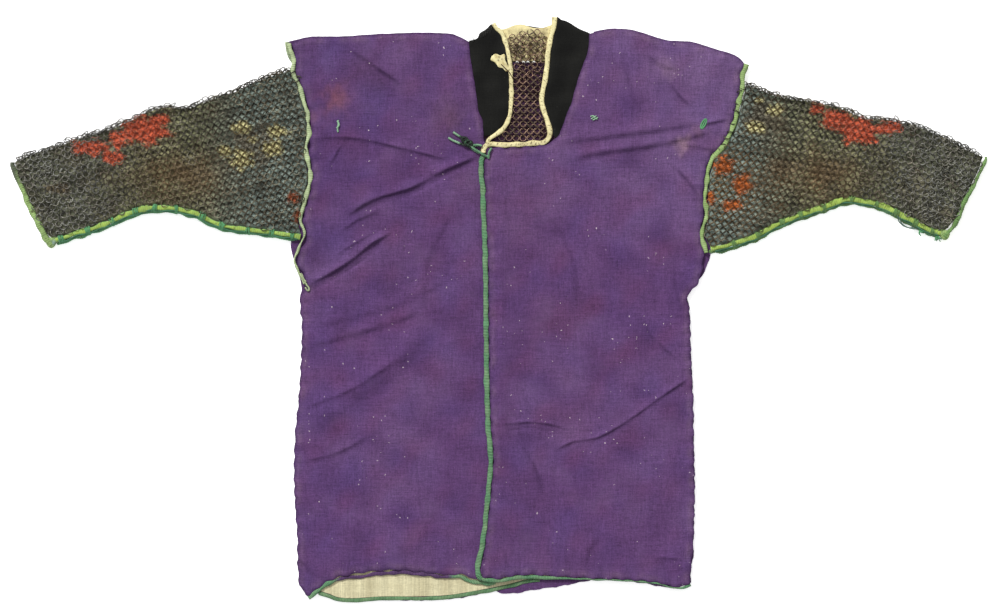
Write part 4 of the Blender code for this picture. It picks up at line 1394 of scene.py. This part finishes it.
def make_ties(finish):
    """Two tie cords with free ends, knotted together near the front edge."""
    skin = Skin("front_right")
    for which, route in (("upper", TIE_UPPER), ("lower", TIE_LOWER)):
        line = flowing(route, 0.7)
        z = skin.height(line[:, 0], line[:, 1]) + TIE_GAP + TIE_RADIUS
        path = np.column_stack([line, z])
        points, faces, along = tubes([path], TIE_RADIUS * TIE_STRANDS, sides=12, twist=2.6, strands=3)
        colours = cord_colours(points, along)
        piece = add_piece("tie_" + which, points, faces, finish, colours, {"along": along})
        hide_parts("tie_cord_" + which)
    x, y = -39.5, 208.0
    z = float(skin.height(np.array([x]), np.array([y]))[0]) + 2.0
    turns_of_knot = []
    for k in range(6):
        a = np.linspace(0, 2 * math.pi, 14)
        tilt = math.radians(-60 + 40 * k)
        turned = math.radians(25 + 28 * k)
        across, ahead = 2.6 * np.cos(a) * math.cos(tilt), (3.0 + 0.4 * (k % 3)) * np.sin(a)
        ring = np.column_stack([across * math.cos(turned) - ahead * math.sin(turned),
                                across * math.sin(turned) + ahead * math.cos(turned),
                                1.1 + 1.3 * np.cos(a) * math.sin(tilt)])
        turns_of_knot.append(ring + (x - 4.5 + 1.9 * k, y + 3.2 - 1.2 * k + (k % 2), z))
    points, faces, along = tubes(turns_of_knot, KNOT_RADIUS, sides=8)
    glossy = np.clip(ripple(points[:, 0], points[:, 1], 97, 4.0) - 0.2, 0, 0.6)
    colours = mix(CORD_DARK, CORD_GREEN, glossy)
    knot = add_piece("tie_knot", points, faces, finish, colours, {"along": along})


def make_collar_patch(finish):
    """A torn scrap of cream leather on the right collar band, with a dark thread hanging from it."""
    rim = [(-8, 316), (-3, 319), (3, 317), (8, 318.5), (9, 311), (12, 305), (14, 299), (10, 297), (6, 301),
           (1, 302), (-2, 306), (-5, 309), (-9, 311)]
    loop = flowing([*rim, rim[0]], 1.4)[:-1]
    if signed_area(loop) < 0:
        loop = loop[::-1]
    points, faces = filled(loop, 1.6)
    x, y = points[:, 0], points[:, 1]
    base = settled(np.maximum(Skin("collar_right").height(x, y), 6.6), faces, 6) + 0.5
    top = base + 0.5 + 0.35 * ripple(x, y, 301, 9.0)
    shape, group = two_layers(x, y, top, top - 0.6, faces)
    tint = mix(CREAM, CREAM_DIRT, np.clip(0.25 + 0.4 * ripple(x, y, 302, 7.0), 0, 1))
    for hole_x, hole_y in ((1.5, 314.5), (0.5, 311.0), (5.0, 312.5)):
        tint = mix(tint, STITCH_BROWN, np.exp(-((x - hole_x) ** 2 + (y - hole_y) ** 2) / 1.2))
    piece = add_piece("collar_scrap", shape, group, finish, np.vstack([tint, tint]))
    dangling = [(4, 306, 8.6), (7.5, 302.5, 9.0), (11, 299, 9.2), (14.5, 295.5, 9.6), (17, 291, 8.6),
                (18.5, 288, 7.6)]
    thread = thread_piece("collar_thread", [dangling], 0.5, STITCH_BROWN, finish, "cream_binding")
    return piece, loop, [thread]


def make_neck_glints(finish):
    """Pale thread arcs along the leather's lower edge, as painted glints."""
    glints = [[(x, 308.2, 8.2), (x + 0.9, 309.4, 8.5), (x + 2.2, 309.2, 8.5), (x + 2.9, 307.8, 8.2)]
                for x in (22.5, 30.5, 36.0, 43.5)]
    return thread_piece("neck_glints", glints, 0.55, GLINT_WHITE, finish, "cream_binding")


def make_fray(finish):
    """Loose thread ends at the worn top of the collar bands."""
    draw = np.random.default_rng(401)
    paths = []
    for (x0, y0), (x1, y1), count in (((-36, 334), (-8, 349), 22), ((-16, 344), (-10, 351), 8)):
        for _ in range(count):
            t = draw.uniform()
            x, y = x0 + (x1 - x0) * t, y0 + (y1 - y0) * t
            z = draw.uniform(4.2, 6.2)
            sway = draw.normal(0, 2.0)
            reach = draw.uniform(2.0, 5.5)
            middle = (x + sway * 0.3, y + reach * 0.4, z + 0.3)
            paths.append([(x, y - 3, z), middle, (x + sway, y + reach, z - 0.6)])
    return thread_piece("collar_fray", paths, 0.22, BLACK_WORN, finish, "black_cloth", sides=5)


def make_small_threads(finish):
    """Thread ends on the fronts and the bindings: straight ones, a knot, a leaf-shaped loop and tufts."""
    skin = {"right": Skin("front_right"), "left": Skin("front_left")}

    def on(side, points, lift=0.8):
        points = np.asarray(points, float)
        return np.column_stack([points, skin[side].height(points[:, 0], points[:, 1]) + lift])

    teal = [on("right", [(-200, 236), (-199.5, 231), (-200.5, 226), (-200, 221)]),
            on("right", [(-201, 235), (-198.6, 230), (-201.6, 226)], 1.2)]
    knot = [on("left", line, lift) for lift, line in (
        (0.9, [(115.5, 240.5), (118.5, 241.5), (121.5, 240)]),
        (1.1, [(116.5, 237.5), (119.5, 239.5), (123, 241.5)]),
        (1.3, [(118, 242), (121, 239), (124, 237)]),
        (0.9, [(118.5, 236), (121.5, 237.5), (125, 239.5)]))]
    a = np.linspace(0, 2 * math.pi, 20)
    leaf = np.column_stack([257 + 6.8 * np.cos(a) * math.cos(1.1) - 2.4 * np.sin(a) * math.sin(1.1),
                            231.5 + 6.8 * np.cos(a) * math.sin(1.1) + 2.4 * np.sin(a) * math.cos(1.1)])
    leaf = on("left", leaf, 1.0)
    vein = on("left", [(260, 237.6), (257, 231.5), (254, 225.4)], 0.9)
    pieces = [
        thread_piece("stitch_right", teal, 1.15, CORD_PALE, finish, "green_binding", twist=2.4, strands=2),
        thread_piece("stitch_left", knot, 0.7, CORD_PALE, finish, "green_binding"),
        thread_piece("stitch_leaf", [leaf, vein], 0.9, SEA_GREEN, finish, "green_binding"),
    ]
    slack = [(500, 116, 8.4), (501, 110, 6.2), (507, 104, 4.6), (514, 101.5, 4.4), (522, 102, 4.8),
             (531, 98, 5.6)]
    other = [(502, 114, 8.4), (504, 108, 6.2), (510, 103, 4.8), (518, 100.5, 4.6), (527, 100, 5.4)]
    draw = np.random.default_rng(861)
    tufts = []
    for tx, ty in ((529, 97.5), (549, 89.5)):
        for _ in range(9):
            a, far = draw.uniform(-2.9, 0.2), draw.uniform(3.0, 7.0)
            bend = draw.normal(0, 2.0)
            ex, ey = tx + far * math.cos(a), ty + far * math.sin(a)
            tufts.append([
                (tx + draw.normal(0, 1), ty + 3.0, 5.2),
                ((tx + ex) / 2 + bend, (ty + ey) / 2, 6.0),
                (ex, ey, draw.uniform(2.5, 5.0)),
            ])
    loop = [(-240, 34, 9.2), (-245, 40, 9.0), (-246.5, 44, 8.4), (-243, 38, 8.2), (-239, 30, 8.2),
            (-236, 25, 8.0), (-237, 23, 8.2), (-241, 27, 8.8)]
    thread_piece("underarm_slack_thread", [slack, other], 0.75, THREAD_GREY, finish, "green_binding")
    thread_piece("underarm_tufts", tufts, 0.6, SEA_GREEN, finish, "green_binding")
    pieces.append(thread_piece("armhole_end_loop", [loop], 1.0, LIME_PALE, finish, "lime_binding"))
    return pieces


def make_lacing(finish):
    """The loop of cord that ties the fronts together at the foot of the collar."""
    low = float(Skin("front_left").height(np.array([-10.0]), np.array([190.0]))[0])
    base = float(Skin("front_right").height(np.array([-34.0]), np.array([200.0]))[0])
    runs = [
        [(-45, 206, base + 1.4), (-41, 205, base + 3.4), (-35, 203.5, base + 3.6),
         (-28, 199, base + 4.2), (-20, 194, low + 1.6), (-11, 189, low + 1.0)],
        [(-31, 204.5, base + 4.0), (-25, 205, base + 4.6), (-20, 204, low + 1.8)],
        [(-8, 201, low + 1.2), (-11, 196, low + 2.0), (-12, 188, low + 1.2)],
    ]
    paths = [arc_points(run, 0.7) for run in runs]
    points, faces, along = tubes(paths, LACING_RADIUS, sides=10, twist=2.6, strands=3)
    colours = cord_colours(points, along)
    return add_piece("front_lacing", points, faces, finish, colours, {"along": along})


def make_finishes():
    """The materials by name."""
    return {
        "purple": woven("purple weave", 0.0009, 0.42, 0.45, speck=LINT, sheen=0.03, wear_and_top_light=PURPLE_PALE),
        "black": woven("black weave", 0.0008, 0.25, 0.4, speck=BLACK_WORN, sheen=0.0),
        "lining": woven("undyed weave", 0.0011, 0.20, 0.5, wear_and_top_light=LINING_DARK, stripes=0.16),
        "print": woven("printed weave", 0.0007, 0.22, 0.3),
        "leather": leather_finish("thin leather"),
        "cream": leather_finish("cream leather", 0.35),
        "tape": tape_finish("tape", 1.9, 0.7, stripe=0.24),
        "lime": tape_finish("lime tape", 2.6, 0.5, stripe=0.10),
        "thread": tape_finish("thread", 0.9, 0.5, stripe=0.15),
        "braid": tape_finish("braid", 1.5, 0.6, stripe=0.22),
        "iron": iron_finish("oxidised iron"),
    }


def back_hem_shape(loop):
    """Right of the lap the lining and its binding reach the edge, so the back stops short there."""
    low = (loop[:, 1] < -325) & (loop[:, 0] < 10)
    inward = 2.6 * rise((6 - loop[:, 0]) / 16) * low
    return loop + np.column_stack([loop[:, 0] * 0, inward])


def collar_back_shape(loop):
    """The leather's torn top reaches past the black cloth behind it."""
    drop = 4.5 * rise((loop[:, 1] - 335) / 10) * rise((loop[:, 0] + 18) / 8) * rise((84 - loop[:, 0]) / 8)
    return loop - np.column_stack([loop[:, 0] * 0, drop])


def make_body(finishes):
    """The back with its lining, the back of the neck and their bindings."""
    tape_mat = finishes["tape"]
    hem_back, _, _ = tape("hem_tape_back", "hem_binding_back", tape_mat, 5.0, 1.6,
                          tape_paint(BACK_GREEN, EDGE_GREEN_DARK, LIME_PALE, 501), 501, ribs=0.06)
    arm_back = [
        tape("armhole_tape_back_" + side, "armhole_binding_back_" + side, tape_mat, 4.4, 3.0,
             tape_paint(LIME_PALE, LIME_DARK, PALE_BLUE, 511 + k), 511 + k, ribs=0.1)[0]
        for k, side in enumerate(("right", "left"))
    ]
    back, loop = shell("back_cloth", "back_panel", finishes["purple"], paint_back,
                       flat_lift(0.12, 3), step=5.6, wall=2.4, crimp=0.5, seed=3, lowest=0.0,
                       reshape=back_hem_shape, under=(CREASES_BACK, paint_under))
    lining, loop = shell("lining_cloth_sheet", "back_lining", finishes["lining"],
                         paint_lining, flat_lift(0.25, 5), step=6.0, wall=0.7, lowest=3.1)
    collar_back, loop = shell("collar_back_cloth", "collar_back", finishes["black"],
                              paint_black, flat_lift(0.1, 6), step=3.5, wall=1.2, lowest=0.0, grow=1.2,
                              reshape=collar_back_shape)
    facing, loop = shell("neck_leather", "neck_facing", finishes["leather"], paint_leather,
                         flat_lift(0.5, 7, 12.0), step=1.8, wall=0.7, crimp=0.8, seed=7, lowest=1.6)
    make_neck_glints(finishes["cream"])
    make_neck_mail(finishes["iron"])


def flat_lift(amount, seed, length=40.0):
    """How a small panel lies: slow waves that stop at its edge."""

    def lift(x, y, away, along):
        return amount * ripple(x, y, seed, length) * rise(away / 4.0)

    return lift


def neck_slack(x, y):
    """The neck's mail is neat at the foot and tangled under the collar."""
    return 0.2 + 0.9 * rise((y - 262) / 50)


def make_neck_mail(finish):
    """Neat rows of rings inside the back of the neck."""
    node = "back_mail"
    loop = softened(outline(node))
    x, y, sign, loose = lattice(loop.min(0) - 4, loop.max(0) + 4, 0.0, 601, neck_slack, NECK_PITCH)
    away = segment_distance(x, y, loop, closed=True)[0]
    keep = inside(x, y, loop) & (away > 1.0) & (y < 343 + 4 * ripple(x, y, 605, 22.0))
    x, y, sign, loose = x[keep], y[keep], sign[keep], loose[keep]
    z = Skin(node).height(x, y) - 1.95
    normals = ring_normals(sign, loose, 0.0, 603)
    colours = mix(IRON, NECK_IRON, np.clip(np.random.default_rng(604).normal(0.6, 0.25, len(x)), 0, 1))
    radii = np.full(len(x), NECK_RING_RADIUS)
    piece = rings("neck_rings", np.column_stack([x, y, z]), normals, radii, finish, colours, 16, 8,
                  NECK_WIRE_RADIUS)
    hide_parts(node)


def make_front(side, creases, finishes, seed):
    """One front panel."""
    node = "front_" + side
    piece, loop = shell(node + "_cloth", node, finishes["purple"], paint_purple,
                        body_lift(creases, seed), step=3.2, wall=1.5, crimp=0.8, seed=seed,
                        lines=crease_lines(creases))


def make_collars(finishes):
    """The two black collar bands with their cream bindings, frayed ends and scrap of leather."""
    cream = tape_paint(CREAM, CREAM_DIRT, CREAM, 701, 0.6, 0.10)
    right_tape, _, _ = tape(
        "collar_tape_right", "collar_binding_right", finishes["cream"], 5.6, 3.0,
        cream, 701, wobble=0.35, sway=0.3, after=[(-13.5, 201.5), (-17.5, 196.5)], flat=0.4)
    left_tape, _, _ = tape(
        "collar_tape_left", "collar_binding_left", finishes["cream"], 6.6, 3.4, cream, 711,
        wobble=0.3, sway=0.3, flat=0.4)
    fray = make_fray(finishes["thread"])
    scrap, scrap_loop, scrap_threads = make_collar_patch(finishes["cream"])
    for side, tapes in (("right", [right_tape, fray]), ("left", [left_tape])):
        node = "collar_" + side
        piece, loop = shell(node + "_cloth", node, finishes["black"], paint_black,
                            flat_lift(0.35, 8), step=2.6, wall=1.4, crimp=0.4, seed=8, grow=1.1)


def make_fronts(finishes):
    """Both fronts with their bindings, threads and lacing."""
    tape_mat = finishes["tape"]
    green = tape_paint(EDGE_GREEN, EDGE_GREEN_DARK, LIME_PALE, 801)
    arm_widths = {"right": [(0, 1.05), (0.66, 1.0), (0.78, 0.5), (1, 0.45)], "left": [(0, 1), (1, 0.95)]}
    hem_widths = [(0, 1.1), (0.3, 1.0), (0.42, 0.5), (0.92, 0.45), (1, 0.8)]
    turned_under = tape_paint(EDGE_GREEN, EDGE_GREEN_DARK, LIME_PALE, 801, over=(PURPLE, -208, -52))
    hem = {
        "right": tape("hem_tape_front_right", "hem_binding_front_right", tape_mat, 4.8, 2.6,
                      turned_under, 811, ribs=0.06, wobble=0.8, sway=1.3)[0],
        "left": tape("hem_tape_front_left", "hem_binding_front_left", tape_mat, 4.8, 2.6,
                     green, 812, ribs=0.06, widths=hem_widths, aside=1)[0],
    }
    edge, _, _ = tape("front_edge_tape", "front_edge_binding", tape_mat, 6.6, 3.0, green,
                      821, ribs=0.10, pitch=1.9, step=0.6, before=[(-15.5, 193)], after=[(-20.5, -338)],
                      flat=0.4)
    for seed, side, lime in ((831, "right", LIME_PALE), (832, "left", LIME)):
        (tape(
            "armhole_tape_front_" + side, "armhole_binding_front_" + side, finishes["lime"],
            5.8, 3.4, tape_paint(lime, LIME_DARK, LIME_PALE, seed, 0.6), seed, ribs=0.25, pitch=2.8,
            wobble=0.8, sway=0.8, widths=arm_widths[side])[0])
    stitch_right, stitch_left, leaf, loop_end = make_small_threads(finishes["thread"])
    lacing = make_lacing(finishes["braid"])
    make_front("right", CREASES_RIGHT, finishes,
               11)
    make_front("left", CREASES_LEFT, finishes,
               13)


make_camera()
finish_set = make_finishes()
make_ties(finish_set["braid"])
make_light()
make_floor()
make_body(finish_set)
make_collars(finish_set)
make_fronts(finish_set)
for sleeve_side in ("right", "left"):
    make_sleeve(sleeve_side, finish_set)

bpy.context.view_layer.update()
